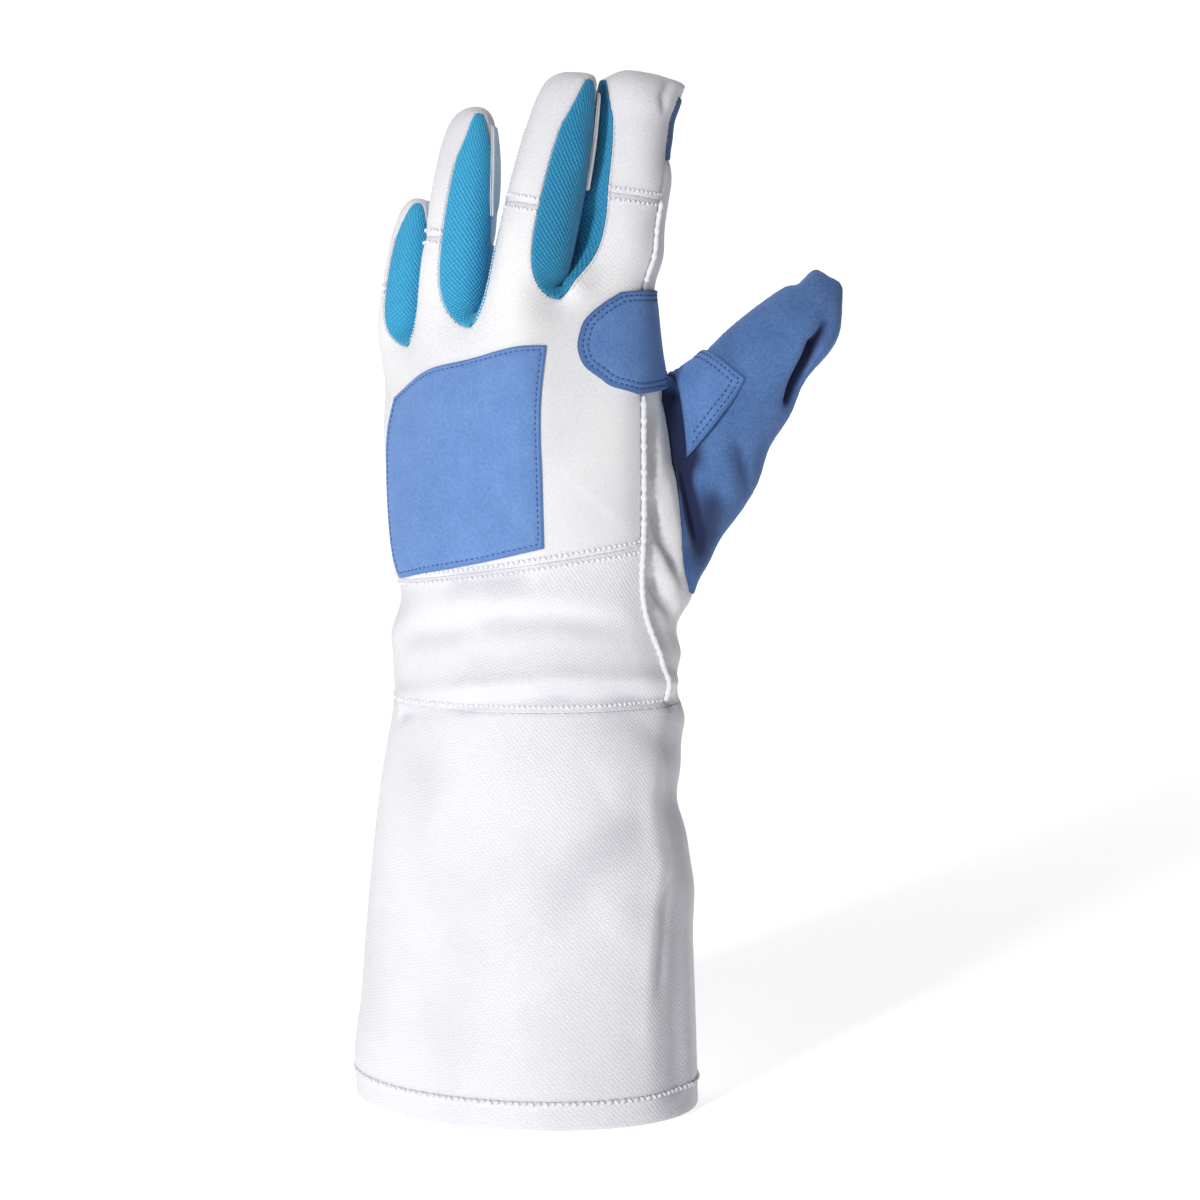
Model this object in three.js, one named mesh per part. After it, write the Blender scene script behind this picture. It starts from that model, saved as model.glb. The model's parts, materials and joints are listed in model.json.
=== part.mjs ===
// A left-hand fencing glove, filled out as it is when worn: a white cuff, a padded white back, stretch
// gussets between the fingers, a suede palm and thumb, and three suede patches stitched on top.
//
// Every panel is cut from one skin. The skin is a coarse net of four-sided faces, laid out in rings by
// the tables below, which is smoothed once and then split along its seams. Each panel is given its own
// wall inwards and is closed into a solid, so the glove is hollow from the cuff's mouth to the fingertips.
//
// Millimetres. X runs from the little finger to the thumb, Y from the back of the hand to the palm, and
// Z from the cuff's mouth up to the fingertips. The origin is at the middle of the cuff's mouth.

import * as THREE from 'three';

// Cuff and wrist
const CUFF_LENGTH = 153;
const MOUTH_WIDTH = 132;
const MOUTH_DEPTH = 98;
const MOUTH_SHIFT = -3.5;
const WRIST_WIDTH = 107;
const WRIST_DEPTH = 73;
const WRIST_CENTRE = -1.6;
const WRIST_LENGTH = 51;
const HEM_HEIGHT = 4.5;

// Hand
const PALM_LENGTH = 99;
const HAND_BREADTH = 102;
const SEAM_SLOPE = 0.16;
const WEB_DIP = 2;

// Fingers, from the knuckle to the tip
const INDEX_LENGTH = 81;
const MIDDLE_LENGTH = 90;
const RING_LENGTH = 87;
const LITTLE_LENGTH = 61;
const FINGER_WIDTH = 29;
const FINGER_DEPTH = 27;

// Thumb, from its root at the side of the hand
const THUMB_REACH = 67;
const THUMB_RISE = 77;
const THUMB_WIDTH = 43;
const THUMB_DEPTH = 31;
const THUMB_SETBACK = 9;

// Walls, and what is stitched on top
const CUFF_WALL = 2.4;
const PADDED_WALL = 2.6;
const STRETCH_WALL = 1.4;
const SUEDE_WALL = 1.6;
const PATCH_WALL = 1.3;
const SEAM_GAP = 0.36;
const THUMB_SEAM_GAP = 0.8;
const PATCH_LIFT = 0.9;
const BINDING_LIFT = 0.6;
const WELT_DIAMETER = 2;
const WELT_SIDES = 6;
const MITRE_LIMIT = 0.5;

// The net's columns run round the sleeve from the side seam, over the back, to the palm.
const SLEEVE_COLUMNS = 20;
const FINGER_COLUMNS = 8;
const THUMB_COLUMNS = 10;
const BACK_END = 8;
const EDGE_END = 10;
const PALM_END = 18;
const LITTLE_EDGE_ANGLE = 172;
const PALM_START_ANGLE = 200;
const PALM_END_ANGLE = 334;

// The net's rows run up from the hem. The thumb grows out of an opening between four of these places.
const CUFF_SEAM_ROW = 5;
const WRIST_SEAM_ROW = 8;
const KNUCKLE_ROW = 12;
const TIP_SEAM_ROW = 2;
const THUMB_FIRST_ROW = 7;
const THUMB_LAST_ROW = 10;
const THUMB_FRONT = 19;
const THUMB_BEHIND = 17;

// A ring of straight sides shrinks when it is smoothed, so its corners are set out by this much.
const rounding = (columns) => 3 / (2 + Math.cos((2 * Math.PI) / columns));
const SLEEVE_ROUNDING = rounding(SLEEVE_COLUMNS);
const FINGER_ROUNDING = rounding(FINGER_COLUMNS);
const THUMB_ROUNDING = rounding(THUMB_COLUMNS);

const WHITE = { color: 0xeceaf0, roughness: 0.85, metalness: 0 };
const BLUE = { color: 0x5f8bcf, roughness: 0.95, metalness: 0 };
const CYAN = { color: 0x2fa3d6, roughness: 0.8, metalness: 0 };

// Rings of the cuff. up is a share of the cuff's length, and flare goes from 0, the wrist's size, to 1,
// the mouth's. turn is how far the long axis turns, in degrees, and seam is the side seam's place.
const CUFF_ROWS = [
  { up: 0.3, flare: 0.86, turn: 15, seam: 24 },
  { up: 0.59, flare: 0.6, turn: 14, seam: 24 },
  { up: 0.85, flare: 0.3, turn: 12, seam: 26 },
  { up: 1, flare: -0.05, turn: 12, seam: 29 },
];

// Rings of the wrist. up is a share of the wrist's length, and width and depth of the wrist's.
const WRIST_ROWS = [
  { up: 0.3, width: 1.03, depth: 1.0, turn: 12, seam: 36 },
  { up: 0.64, width: 0.97, depth: 0.92, turn: 11, seam: 49 },
  { up: 1, width: 1.02, depth: 0.88, turn: 10, seam: 49 },
];

// Rings of the palm, between the wrist's seam and the knuckles. up and blend are shares of that way, and
// back and palm push those sides out by a share of the wrist's depth.
const PALM_ROWS = [
  { up: 0.3, blend: 0.18, back: 0.0, palm: 0.02 },
  { up: 0.6, blend: 0.52, back: 0.03, palm: 0.05 },
  { up: 0.81, blend: 0.8, back: 0.03, palm: 0.04 },
];

// One row for each finger. across and behind place its root, as shares of the hand's breadth, and knuckle
// and web are heights in shares of the palm's length. arch is how the knuckles turn round the hand and
// twist how the finger itself is turned, in degrees. lean is towards the thumb and tilt towards the palm.
// join is where the web to the next finger lies between the two, on the back.
const FINGERS = [
  {
    name: 'index', length: INDEX_LENGTH, across: 0.272, behind: 0.02, knuckle: 1.03, web: 0.96,
    join: 0.64, arch: -9, twist: -14, lean: 8, tilt: 2, width: 1.04, depth: 0.98, tip: 1.18,
  },
  {
    name: 'middle', length: MIDDLE_LENGTH, across: -0.065, behind: -0.12, knuckle: 0.95, web: 0.85,
    join: 0.56, arch: 8, twist: 52, lean: 12.5, tilt: 5, width: 1.05, depth: 1.03, tip: 0.8,
  },
  {
    name: 'ring', length: RING_LENGTH, across: -0.33, behind: 0.04, knuckle: 0.84, web: 0.79,
    join: 0.56, arch: 37, twist: 74, lean: 6.5, tilt: 5, width: 0.98, depth: 0.98, tip: 0.8,
  },
  {
    name: 'little', length: LITTLE_LENGTH, across: -0.5, behind: 0.29, knuckle: 0.75, web: 0.7,
    join: 0.5, arch: 54, twist: 104, lean: 6.5, tilt: 5, width: 0.9, depth: 0.92, tip: 0.8,
  },
];
const WEB_RISE = 6;
const WEB_SHARE = 0.49;

// Rings of every finger. at is a share of its length, taper goes from 0, full size, to 1, the tip's own
// share, and turn is the share of the way from arch to twist. back and palm are the seams' places, in
// degrees from the middle of the finger's back.
const FINGER_ROWS = [
  { at: 0.13, taper: -0.04, turn: 0.8, back: 36, palm: 131 },
  { at: 0.4, taper: 0, turn: 1, back: 41, palm: 132 },
  { at: 0.69, taper: 0.3, turn: 1, back: 46, palm: 128 },
  { at: 0.93, taper: 0.95, turn: 1, back: 70, palm: 106 },
];
const TIP_REACH = 1.03;

// Rings of the thumb. across and up are shares of its reach and rise, width and depth of its own, and
// slant is how far the ring leans back from upright, in degrees.
const THUMB_ROWS = [
  { across: 0.255, up: 0.22, width: 1.38, depth: 1.06, slant: 20 },
  { across: 0.44, up: 0.5, width: 1.06, depth: 1.02, slant: 31 },
  { across: 0.62, up: 0.71, width: 0.8, depth: 0.92, slant: 36 },
  { across: 0.82, up: 0.88, width: 0.68, depth: 0.78, slant: 40 },
];
const THUMB_TIP = { across: 0.94, up: 1.04, spread: 0.24 };

// Patches. Each row is a level from the bottom edge to the top one. It starts at a column and a row of the
// net, and ends at another column and row.
const BACK_PATCH_LEVELS = [
  { from: 2.68, row: 8.12, to: 7.55, endRow: 8.04 },
  { from: 2.65, row: 9, to: 7.5, endRow: 9 },
  { from: 2.58, row: 10.05, to: 7.3, endRow: 9.95 },
  { from: 2.4, row: 11.05, to: 6.8, endRow: 10.9 },
];
const TAB_LEVELS = [
  { from: 18, row: 10.1, to: 20.3, endRow: 10.1 },
  { from: 18, row: 10.28, to: 21.3, endRow: 10.28 },
  { from: 18, row: 10.5, to: 21.7, endRow: 10.5 },
  { from: 18, row: 10.85, to: 21.85, endRow: 10.85 },
  { from: 18, row: 11.25, to: 21.75, endRow: 11.25 },
  { from: 18, row: 11.6, to: 21.3, endRow: 11.6 },
  { from: 18, row: 11.95, to: 20.4, endRow: 11.95 },
];
const THUMB_PATCH_LEVELS = [
  { from: 2.9, row: 0.4, to: -1, endRow: 0.4 },
  { from: 2.6, row: 1, to: -1, endRow: 1 },
  { from: 2, row: 1.6, to: -1, endRow: 1.6 },
  { from: 1.3, row: 2.05, to: -1, endRow: 2.05 },
];
const BINDING_LEVELS = [
  { from: 3.15, row: 2.4, to: 2.85, endRow: 2.4 },
  { from: 3.4, row: 2.7, to: 2.75, endRow: 2.7 },
  { from: 3.45, row: 3.2, to: 2.75, endRow: 3.2 },
  { from: 3.35, row: 3.9, to: 2.8, endRow: 3.9 },
];

// Welts. Each lies along one column of a chart, from one row to another.
const WELTS = [
  { name: 'side_welt', chart: 'sleeve', column: 0, from: 5.1, to: 10, steps: 11 },
  { name: 'index_welt', chart: 'index', column: 1, from: 0.2, to: 2, steps: 5 },
];

// Soft dents in the skin, at a column and a row of a chart. across and along are their half-widths there,
// slope turns them, and depth is how far the skin goes in. A bulge has a depth below 0.
const DENTS = [
  { chart: 'sleeve', column: 19.2, row: 3.7, across: 1.8, along: 0.5, slope: 0, depth: 2.6 },
  { chart: 'sleeve', column: 19.2, row: 2.7, across: 2, along: 0.6, slope: 0, depth: -1.8 },
  { chart: 'sleeve', column: 0.6, row: 2.4, across: 0.6, along: 0.8, slope: 0, depth: 1.6 },
  { chart: 'sleeve', column: 4, row: 3.5, across: 1.2, along: 1.1, slope: 0.4, depth: 1.4 },
  { chart: 'sleeve', column: 2.5, row: 6.5, across: 4.5, along: 0.35, slope: 0.03, depth: 1.3 },
  { chart: 'sleeve', column: 5, row: 7.5, across: 4, along: 0.35, slope: 0, depth: 1.5 },
  { chart: 'sleeve', column: 14, row: 7, across: 4, along: 0.35, slope: 0, depth: 1.6 },
  { chart: 'sleeve', column: 14.5, row: 9.4, across: 2, along: 1, slope: 0, depth: 3 },
  { chart: 'thumb', column: 3.2, row: 0.8, across: 0.8, along: 0.7, slope: 0, depth: 1.2 },
  { chart: 'thumb', column: 5, row: 0.3, across: 1.5, along: 0.6, slope: 0, depth: -5 },
];

const radians = THREE.MathUtils.degToRad;
const mix = (a, b, share) => a + (b - a) * share;
const point = (x, y, z) => new THREE.Vector3(x, y, z);
const between = (a, b, share) => a.clone().lerp(b, share);

// The net of the skin: points, and faces that each name their panel and their place in a chart.
const net = { points: [], faces: [] };

function addPoint(position) {
  net.points.push(position);
  return net.points.length - 1;
}

function addFace(panel, chart, corners) {
  net.faces.push({
    panel,
    chart,
    ids: corners.map((corner) => corner.id),
    places: corners.map((corner) => [corner.u, corner.v]),
  });
}

// The angle of a sleeve column, in degrees round from the thumb's side over the back of the hand.
function columnAngle(column, seam) {
  if (column <= BACK_END) {
    return mix(seam, LITTLE_EDGE_ANGLE, column / BACK_END);
  }
  if (column <= EDGE_END) {
    return mix(LITTLE_EDGE_ANGLE, PALM_START_ANGLE, (column - BACK_END) / (EDGE_END - BACK_END));
  }
  if (column <= PALM_END) {
    return mix(PALM_START_ANGLE, PALM_END_ANGLE, (column - EDGE_END) / (PALM_END - EDGE_END));
  }
  return mix(PALM_END_ANGLE, seam + 360, (column - PALM_END) / (SLEEVE_COLUMNS - PALM_END));
}

// An oval ring whose long axis is turned towards the back of the hand on the thumb's side.
function ovalRing({ width, depth, centre, height, slope = 0, turn, seam }) {
  const along = point(Math.cos(radians(turn)), -Math.sin(radians(turn)), 0);
  const across = point(-Math.sin(radians(turn)), -Math.cos(radians(turn)), 0);
  return Array.from({ length: SLEEVE_COLUMNS }, (_, column) => {
    const angle = radians(columnAngle(column, seam) - turn);
    const corner = point(centre, 0, height)
      .addScaledVector(along, (width / 2) * SLEEVE_ROUNDING * Math.cos(angle))
      .addScaledVector(across, (depth / 2) * SLEEVE_ROUNDING * Math.sin(angle));
    corner.z += slope * corner.x;
    return corner;
  });
}

// The frame of a finger's root in the arch of the knuckles.
function fingerRoot(finger) {
  const angle = radians(finger.arch);
  const back = point(-Math.sin(angle), -Math.cos(angle), 0);
  const side = point(Math.cos(angle), -Math.sin(angle), 0);
  const centre = point(
    finger.across * HAND_BREADTH,
    finger.behind * HAND_BREADTH,
    CUFF_LENGTH + WRIST_LENGTH + finger.knuckle * PALM_LENGTH,
  );
  return { centre, back, side, halfWidth: halfWidth(finger), halfDepth: halfDepth(finger) };
}

function halfWidth(finger) {
  return (finger.width * FINGER_WIDTH) / 2;
}

function halfDepth(finger) {
  return (finger.depth * FINGER_DEPTH) / 2;
}

// A corner of a finger's ring, by its angle from the middle of the finger's back.
function ringCorner(frame, degrees, size = 1) {
  const angle = radians(degrees);
  return frame.centre
    .clone()
    .addScaledVector(frame.back, Math.cos(angle) * frame.halfDepth * size)
    .addScaledVector(frame.side, Math.sin(angle) * frame.halfWidth * size);
}

// The ring of the knuckles, where the sleeve ends and the fingers start. Webs join its two sides.
function knuckleRing() {
  const roots = FINGERS.map(fingerRoot);
  const ring = new Array(SLEEVE_COLUMNS);
  const webs = [];
  const seams = FINGER_ROWS[0];
  roots.forEach((root, i) => {
    ring[1 + 2 * i] = ringCorner(root, 0);
    ring[PALM_END - 1 - 2 * i] = ringCorner(root, 180);
  });
  for (let i = 0; i + 1 < roots.length; i += 1) {
    const { web, join } = FINGERS[i];
    const height = CUFF_LENGTH + WRIST_LENGTH + web * PALM_LENGTH;
    const inwards = between(roots[i].back, roots[i + 1].back, 0.5).multiplyScalar(-WEB_DIP);
    const back = between(ring[1 + 2 * i], ring[3 + 2 * i], join).add(inwards);
    const palm = between(ring[PALM_END - 1 - 2 * i], ring[PALM_END - 3 - 2 * i], 0.5).sub(inwards);
    const saddle = between(roots[i].centre, roots[i + 1].centre, WEB_SHARE);
    back.z = height;
    palm.z = height;
    saddle.z = height + WEB_RISE;
    ring[2 + 2 * i] = back;
    ring[PALM_END - 2 - 2 * i] = palm;
    webs.push(saddle);
  }
  const first = roots[0];
  const last = roots[roots.length - 1];
  ring[0] = ringCorner(first, seams.back);
  ring[SLEEVE_COLUMNS - 1] = ringCorner(first, 90);
  ring[PALM_END] = ringCorner(first, seams.palm);
  ring[BACK_END] = ringCorner(last, -seams.back);
  ring[BACK_END + 1] = ringCorner(last, -90);
  ring[EDGE_END] = ringCorner(last, -seams.palm);
  return { ring, webs };
}

// All rings of the sleeve, from the hem to the knuckles.
function sleeveRings(knuckles) {
  const cuffRing = ({ up, flare, turn, seam }) =>
    ovalRing({
      width: mix(WRIST_WIDTH, MOUTH_WIDTH, flare),
      depth: mix(WRIST_DEPTH, MOUTH_DEPTH, flare),
      centre: WRIST_CENTRE + MOUTH_SHIFT * flare,
      height: up * CUFF_LENGTH,
      turn,
      seam,
    });
  const mouth = { up: 0, flare: 1, turn: CUFF_ROWS[0].turn, seam: CUFF_ROWS[0].seam };
  const rings = [cuffRing(mouth), cuffRing({ ...mouth, up: HEM_HEIGHT / CUFF_LENGTH })];
  CUFF_ROWS.forEach((row) => rings.push(cuffRing(row)));
  WRIST_ROWS.forEach((row) => {
    rings.push(
      ovalRing({
        width: row.width * WRIST_WIDTH,
        depth: row.depth * WRIST_DEPTH,
        centre: WRIST_CENTRE,
        height: CUFF_LENGTH + row.up * WRIST_LENGTH,
        slope: SEAM_SLOPE * row.up,
        turn: row.turn,
        seam: row.seam,
      }),
    );
  });
  const wrist = rings[rings.length - 1];
  PALM_ROWS.forEach((row) => {
    rings.push(
      wrist.map((low, column) => {
        const high = knuckles[column];
        const push = column <= BACK_END ? -row.back : row.palm;
        return point(
          mix(low.x, high.x, row.blend),
          mix(low.y, high.y, row.blend) + push * WRIST_DEPTH,
          mix(low.z, high.z, row.up),
        );
      }),
    );
  });
  rings.push(knuckles);
  return rings;
}

function sleevePanel(row, column) {
  if (row === 0) {
    return 'hem_band';
  }
  if (row < CUFF_SEAM_ROW) {
    return 'cuff';
  }
  if (column >= PALM_END) {
    return 'side_panel';
  }
  if (row < WRIST_SEAM_ROW) {
    return 'wrist_panel';
  }
  return column <= BACK_END ? 'back_panel' : 'palm_panel';
}

function inThumbHole(row, column) {
  const beside = column >= THUMB_BEHIND && column < THUMB_FRONT;
  return beside && row >= THUMB_FIRST_ROW && row < THUMB_LAST_ROW;
}

function buildSleeve() {
  const { ring, webs } = knuckleRing();
  const ids = sleeveRings(ring).map((corners) => corners.map(addPoint));
  for (let row = 0; row + 1 < ids.length; row += 1) {
    for (let column = 0; column < SLEEVE_COLUMNS; column += 1) {
      if (!inThumbHole(row, column)) {
        const next = (column + 1) % SLEEVE_COLUMNS;
        addFace(sleevePanel(row, column), 'sleeve', [
          { id: ids[row][column], u: column, v: row },
          { id: ids[row + 1][column], u: column, v: row + 1 },
          { id: ids[row + 1][next], u: column + 1, v: row + 1 },
          { id: ids[row][next], u: column + 1, v: row },
        ]);
      }
    }
  }
  return { ids, webs: webs.map(addPoint) };
}

// The ring of net corners from which a finger grows: its back, its two sides and its palm.
function fingerRootRing(i, ids, webs) {
  const knuckles = ids[KNUCKLE_ROW];
  const back = 1 + 2 * i;
  const palm = PALM_END - back;
  const thumbSide = i === 0 ? SLEEVE_COLUMNS - 1 : null;
  const radial = thumbSide === null ? webs[i - 1] : knuckles[thumbSide];
  const ulnar = i === FINGERS.length - 1 ? knuckles[BACK_END + 1] : webs[i];
  return [
    knuckles[back], knuckles[back - 1], radial, knuckles[palm + 1],
    knuckles[palm], knuckles[palm - 1], ulnar, knuckles[back + 1],
  ];
}

function fingerPanel(i, row, column) {
  const isBack = column === 0 || column === FINGER_COLUMNS - 1;
  const backPanel = row < TIP_SEAM_ROW ? 'back_panel' : `${FINGERS[i].name}_tip_panel`;
  if (isBack) {
    return backPanel;
  }
  if (column === 1 || column === 2) {
    return i === 0 ? 'side_panel' : `gusset_${FINGERS[i - 1].name}_${FINGERS[i].name}`;
  }
  if (column === 3 || column === 4) {
    return 'palm_panel';
  }
  if (i === FINGERS.length - 1) {
    return column === 6 ? backPanel : 'palm_panel';
  }
  return `gusset_${FINGERS[i].name}_${FINGERS[i + 1].name}`;
}

function buildFinger(finger, i, ids, webs) {
  const lean = Math.tan(radians(finger.lean));
  const tilt = Math.tan(radians(finger.tilt));
  const axis = point(lean, tilt, 1).normalize();
  const root = fingerRoot(finger);
  const rings = [fingerRootRing(i, ids, webs)];
  FINGER_ROWS.forEach((row) => {
    const twist = radians(mix(finger.arch, finger.twist, row.turn));
    const back = point(-Math.sin(twist), -Math.cos(twist), 0);
    back.addScaledVector(axis, -back.dot(axis)).normalize();
    const side = axis.clone().cross(back);
    const frame = {
      centre: root.centre.clone().addScaledVector(axis, row.at * finger.length),
      back,
      side,
      halfWidth: halfWidth(finger),
      halfDepth: halfDepth(finger),
    };
    const size = FINGER_ROUNDING * (1 + row.taper * (finger.tip - 1));
    const angles = [0, row.back, 90, row.palm, 180, -row.palm, -90, -row.back];
    rings.push(angles.map((angle) => addPoint(ringCorner(frame, angle, size))));
  });
  for (let row = 0; row + 1 < rings.length; row += 1) {
    for (let column = 0; column < FINGER_COLUMNS; column += 1) {
      const next = (column + 1) % FINGER_COLUMNS;
      addFace(fingerPanel(i, row, column), finger.name, [
        { id: rings[row][column], u: column, v: row },
        { id: rings[row][next], u: column + 1, v: row },
        { id: rings[row + 1][next], u: column + 1, v: row + 1 },
        { id: rings[row + 1][column], u: column, v: row + 1 },
      ]);
    }
  }
  const tip = addPoint(root.centre.clone().addScaledVector(axis, TIP_REACH * finger.length));
  const end = rings[rings.length - 1];
  const lastRow = rings.length - 1;
  for (let column = 0; column < FINGER_COLUMNS; column += 2) {
    const isPalm = column === 4 || (column === 2 && i === 0);
    const corners = [column, column + 1, column + 2].map((step) => ({
      id: end[step % FINGER_COLUMNS],
      u: step,
      v: lastRow,
    }));
    corners.push({ id: tip, u: column + 1, v: lastRow + 1 });
    addFace(isPalm ? 'palm_panel' : `${finger.name}_tip_panel`, `${finger.name}_cap`, corners);
  }
}

// The thumb grows out of an opening in the sleeve's net. Its columns start at the crotch and run down
// the front to the bottom, and back up behind.
function buildThumb(ids) {
  const rootRing = [ids[THUMB_LAST_ROW][THUMB_BEHIND + 1]];
  for (let row = THUMB_LAST_ROW; row >= THUMB_FIRST_ROW; row -= 1) {
    rootRing.push(ids[row][THUMB_FRONT]);
  }
  rootRing.push(ids[THUMB_FIRST_ROW][THUMB_BEHIND + 1]);
  for (let row = THUMB_FIRST_ROW; row <= THUMB_LAST_ROW; row += 1) {
    rootRing.push(ids[row][THUMB_BEHIND]);
  }
  const top = net.points[ids[THUMB_LAST_ROW][THUMB_FRONT]];
  const bottom = net.points[ids[THUMB_FIRST_ROW][THUMB_FRONT]];
  const base = between(top, bottom, 0.5);
  const front = point(0, -1, 0);
  const station = (row) =>
    point(base.x + row.across * THUMB_REACH, THUMB_SETBACK, base.z + row.up * THUMB_RISE);
  const rings = [rootRing];
  THUMB_ROWS.forEach((row) => {
    const slant = radians(row.slant);
    const frame = {
      centre: station(row),
      back: point(-Math.sin(slant), 0, Math.cos(slant)),
      side: front,
      halfDepth: (row.width * THUMB_WIDTH) / 2,
      halfWidth: (row.depth * THUMB_DEPTH) / 2,
    };
    rings.push(
      Array.from({ length: THUMB_COLUMNS }, (_, column) =>
        addPoint(ringCorner(frame, (360 * column) / THUMB_COLUMNS, THUMB_ROUNDING)),
      ),
    );
  });
  const half = THUMB_COLUMNS / 2;
  for (let row = 0; row + 1 < rings.length; row += 1) {
    for (let column = 0; column < THUMB_COLUMNS; column += 1) {
      const next = (column + 1) % THUMB_COLUMNS;
      addFace(column < half ? 'thumb_back' : 'thumb_palm', 'thumb', [
        { id: rings[row][column], u: column, v: row },
        { id: rings[row][next], u: column + 1, v: row },
        { id: rings[row + 1][next], u: column + 1, v: row + 1 },
        { id: rings[row + 1][column], u: column, v: row + 1 },
      ]);
    }
  }
  capThumb(rings[rings.length - 1], station(THUMB_TIP), THUMB_ROWS[THUMB_ROWS.length - 1].slant);
}

// The thumb's tip is closed by two strips of faces, on either side of a middle seam.
function capThumb(end, tip, slantDegrees) {
  const half = THUMB_COLUMNS / 2;
  const slant = radians(slantDegrees);
  const down = point(Math.sin(slant), 0, -Math.cos(slant));
  const middle = [end[0]];
  for (let step = 1; step < half - 2; step += 1) {
    const spread = (2 * step / (half - 2) - 1) * THUMB_TIP.spread * THUMB_WIDTH;
    middle.push(addPoint(tip.clone().addScaledVector(down, spread)));
  }
  middle.push(end[half]);
  for (let step = 0; step < half - 2; step += 1) {
    const seam = [middle[step], middle[step + 1]].map((id, k) => ({ id, u: 1, v: step + k }));
    const front = [end[step + 1], end[step + 2]].map((id, k) => ({ id, u: 2, v: step + k }));
    const behind = [step, step + 1].map((k) => ({ id: end[THUMB_COLUMNS - 1 - k], u: 0, v: k }));
    addFace('thumb_back', 'thumb_cap', [seam[0], front[0], front[1], seam[1]]);
    addFace('thumb_palm', 'thumb_cap', [seam[1], behind[1], behind[0], seam[0]]);
  }
}

const edgeKey = (a, b) => (a < b ? `${a}_${b}` : `${b}_${a}`);
const average = (vectors) =>
  vectors.reduce((sum, vector) => sum.add(vector), point(0, 0, 0)).divideScalar(vectors.length);

// One round of Catmull and Clark's smoothing. Each face becomes four, and keeps its panel and chart.
function smooth({ points, faces }) {
  const edges = new Map();
  const around = points.map(() => ({ faces: [], edges: new Set() }));
  const centres = faces.map((face) => average(face.ids.map((id) => points[id])));
  faces.forEach((face, f) => {
    face.ids.forEach((id, k) => {
      const next = face.ids[(k + 1) % face.ids.length];
      const key = edgeKey(id, next);
      if (!edges.has(key)) {
        edges.set(key, { ends: [id, next], faces: [] });
      }
      edges.get(key).faces.push(f);
      around[id].faces.push(f);
      around[id].edges.add(key);
      around[next].edges.add(key);
    });
  });
  const moved = points.map((position, id) => {
    const touching = [...around[id].edges].map((key) => edges.get(key));
    const free = touching.filter((edge) => edge.faces.length === 1);
    const far = (edge) => points[edge.ends[0] === id ? edge.ends[1] : edge.ends[0]];
    if (free.length > 0) {
      return average(free.map(far)).lerp(position, 0.75);
    }
    const n = touching.length;
    const ring = average(touching.map((edge) => far(edge).clone().lerp(position, 0.5)));
    const middle = average(around[id].faces.map((f) => centres[f]));
    return middle.addScaledVector(ring, 2).addScaledVector(position, n - 3).divideScalar(n);
  });
  const edgeIds = new Map();
  edges.forEach((edge, key) => {
    const ends = edge.ends.map((id) => points[id]);
    const beside = edge.faces.length === 2 ? edge.faces.map((f) => centres[f]) : [];
    edgeIds.set(key, moved.length);
    moved.push(average([...ends, ...beside]));
  });
  const split = [];
  faces.forEach((face, f) => {
    const centreId = moved.length;
    moved.push(centres[f]);
    const count = face.ids.length;
    const halfway = (k) => {
      const [a, b] = [face.places[k], face.places[(k + 1) % count]];
      return [(a[0] + b[0]) / 2, (a[1] + b[1]) / 2];
    };
    const centrePlace = [0, 1].map((axis) => face.places.reduce((sum, p) => sum + p[axis], 0) / count);
    face.ids.forEach((id, k) => {
      const before = (k + count - 1) % count;
      const outgoing = edgeIds.get(edgeKey(id, face.ids[(k + 1) % count]));
      const incoming = edgeIds.get(edgeKey(face.ids[before], id));
      split.push({
        panel: face.panel,
        chart: face.chart,
        ids: [id, outgoing, centreId, incoming],
        places: [face.places[k], halfway(k), centrePlace, halfway(before)],
      });
    });
  });
  return { points: moved, faces: split };
}

// The skin's outward direction at every point.
function pointNormals({ points, faces }) {
  const normals = points.map(() => point(0, 0, 0));
  faces.forEach(({ ids }) => {
    const [a, b, c, d] = ids.map((id) => points[id]);
    const normal = c.clone().sub(a).cross(d.clone().sub(b));
    ids.forEach((id) => normals[id].add(normal));
  });
  return normals.map((normal) => normal.normalize());
}

// How many columns a chart has round its ring.
const chartColumns = (chart) =>
  ({ sleeve: SLEEVE_COLUMNS, thumb: THUMB_COLUMNS })[chart] ?? FINGER_COLUMNS;

// How far a place in a chart is pushed in by the dents.
function dentDepth(chart, column, row) {
  return DENTS.filter((dent) => dent.chart === chart).reduce((sum, dent) => {
    const half = chartColumns(chart) / 2;
    const across = THREE.MathUtils.euclideanModulo(column - dent.column + half, 2 * half) - half;
    const along = row - dent.row - dent.slope * across;
    return sum + dent.depth * Math.exp(-((across / dent.across) ** 2) - (along / dent.along) ** 2);
  }, 0);
}

// Pushes every point of the skin in by its dents.
function dentSkin({ points, faces }) {
  const normals = pointNormals({ points, faces });
  const depths = new Map();
  faces.forEach(({ chart, ids, places }) => {
    ids.forEach((id, k) => depths.set(id, dentDepth(chart, ...places[k])));
  });
  depths.forEach((depth, id) => points[id].addScaledVector(normals[id], -depth));
}

// A geometry from corners and triangles.
function closedGeometry(corners, triangles) {
  const geometry = new THREE.BufferGeometry();
  const positions = corners.flatMap((corner) => [corner.x, corner.y, corner.z]);
  geometry.setAttribute('position', new THREE.Float32BufferAttribute(positions, 3));
  geometry.setIndex(triangles.flat());
  geometry.computeVertexNormals();
  return geometry;
}

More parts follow.
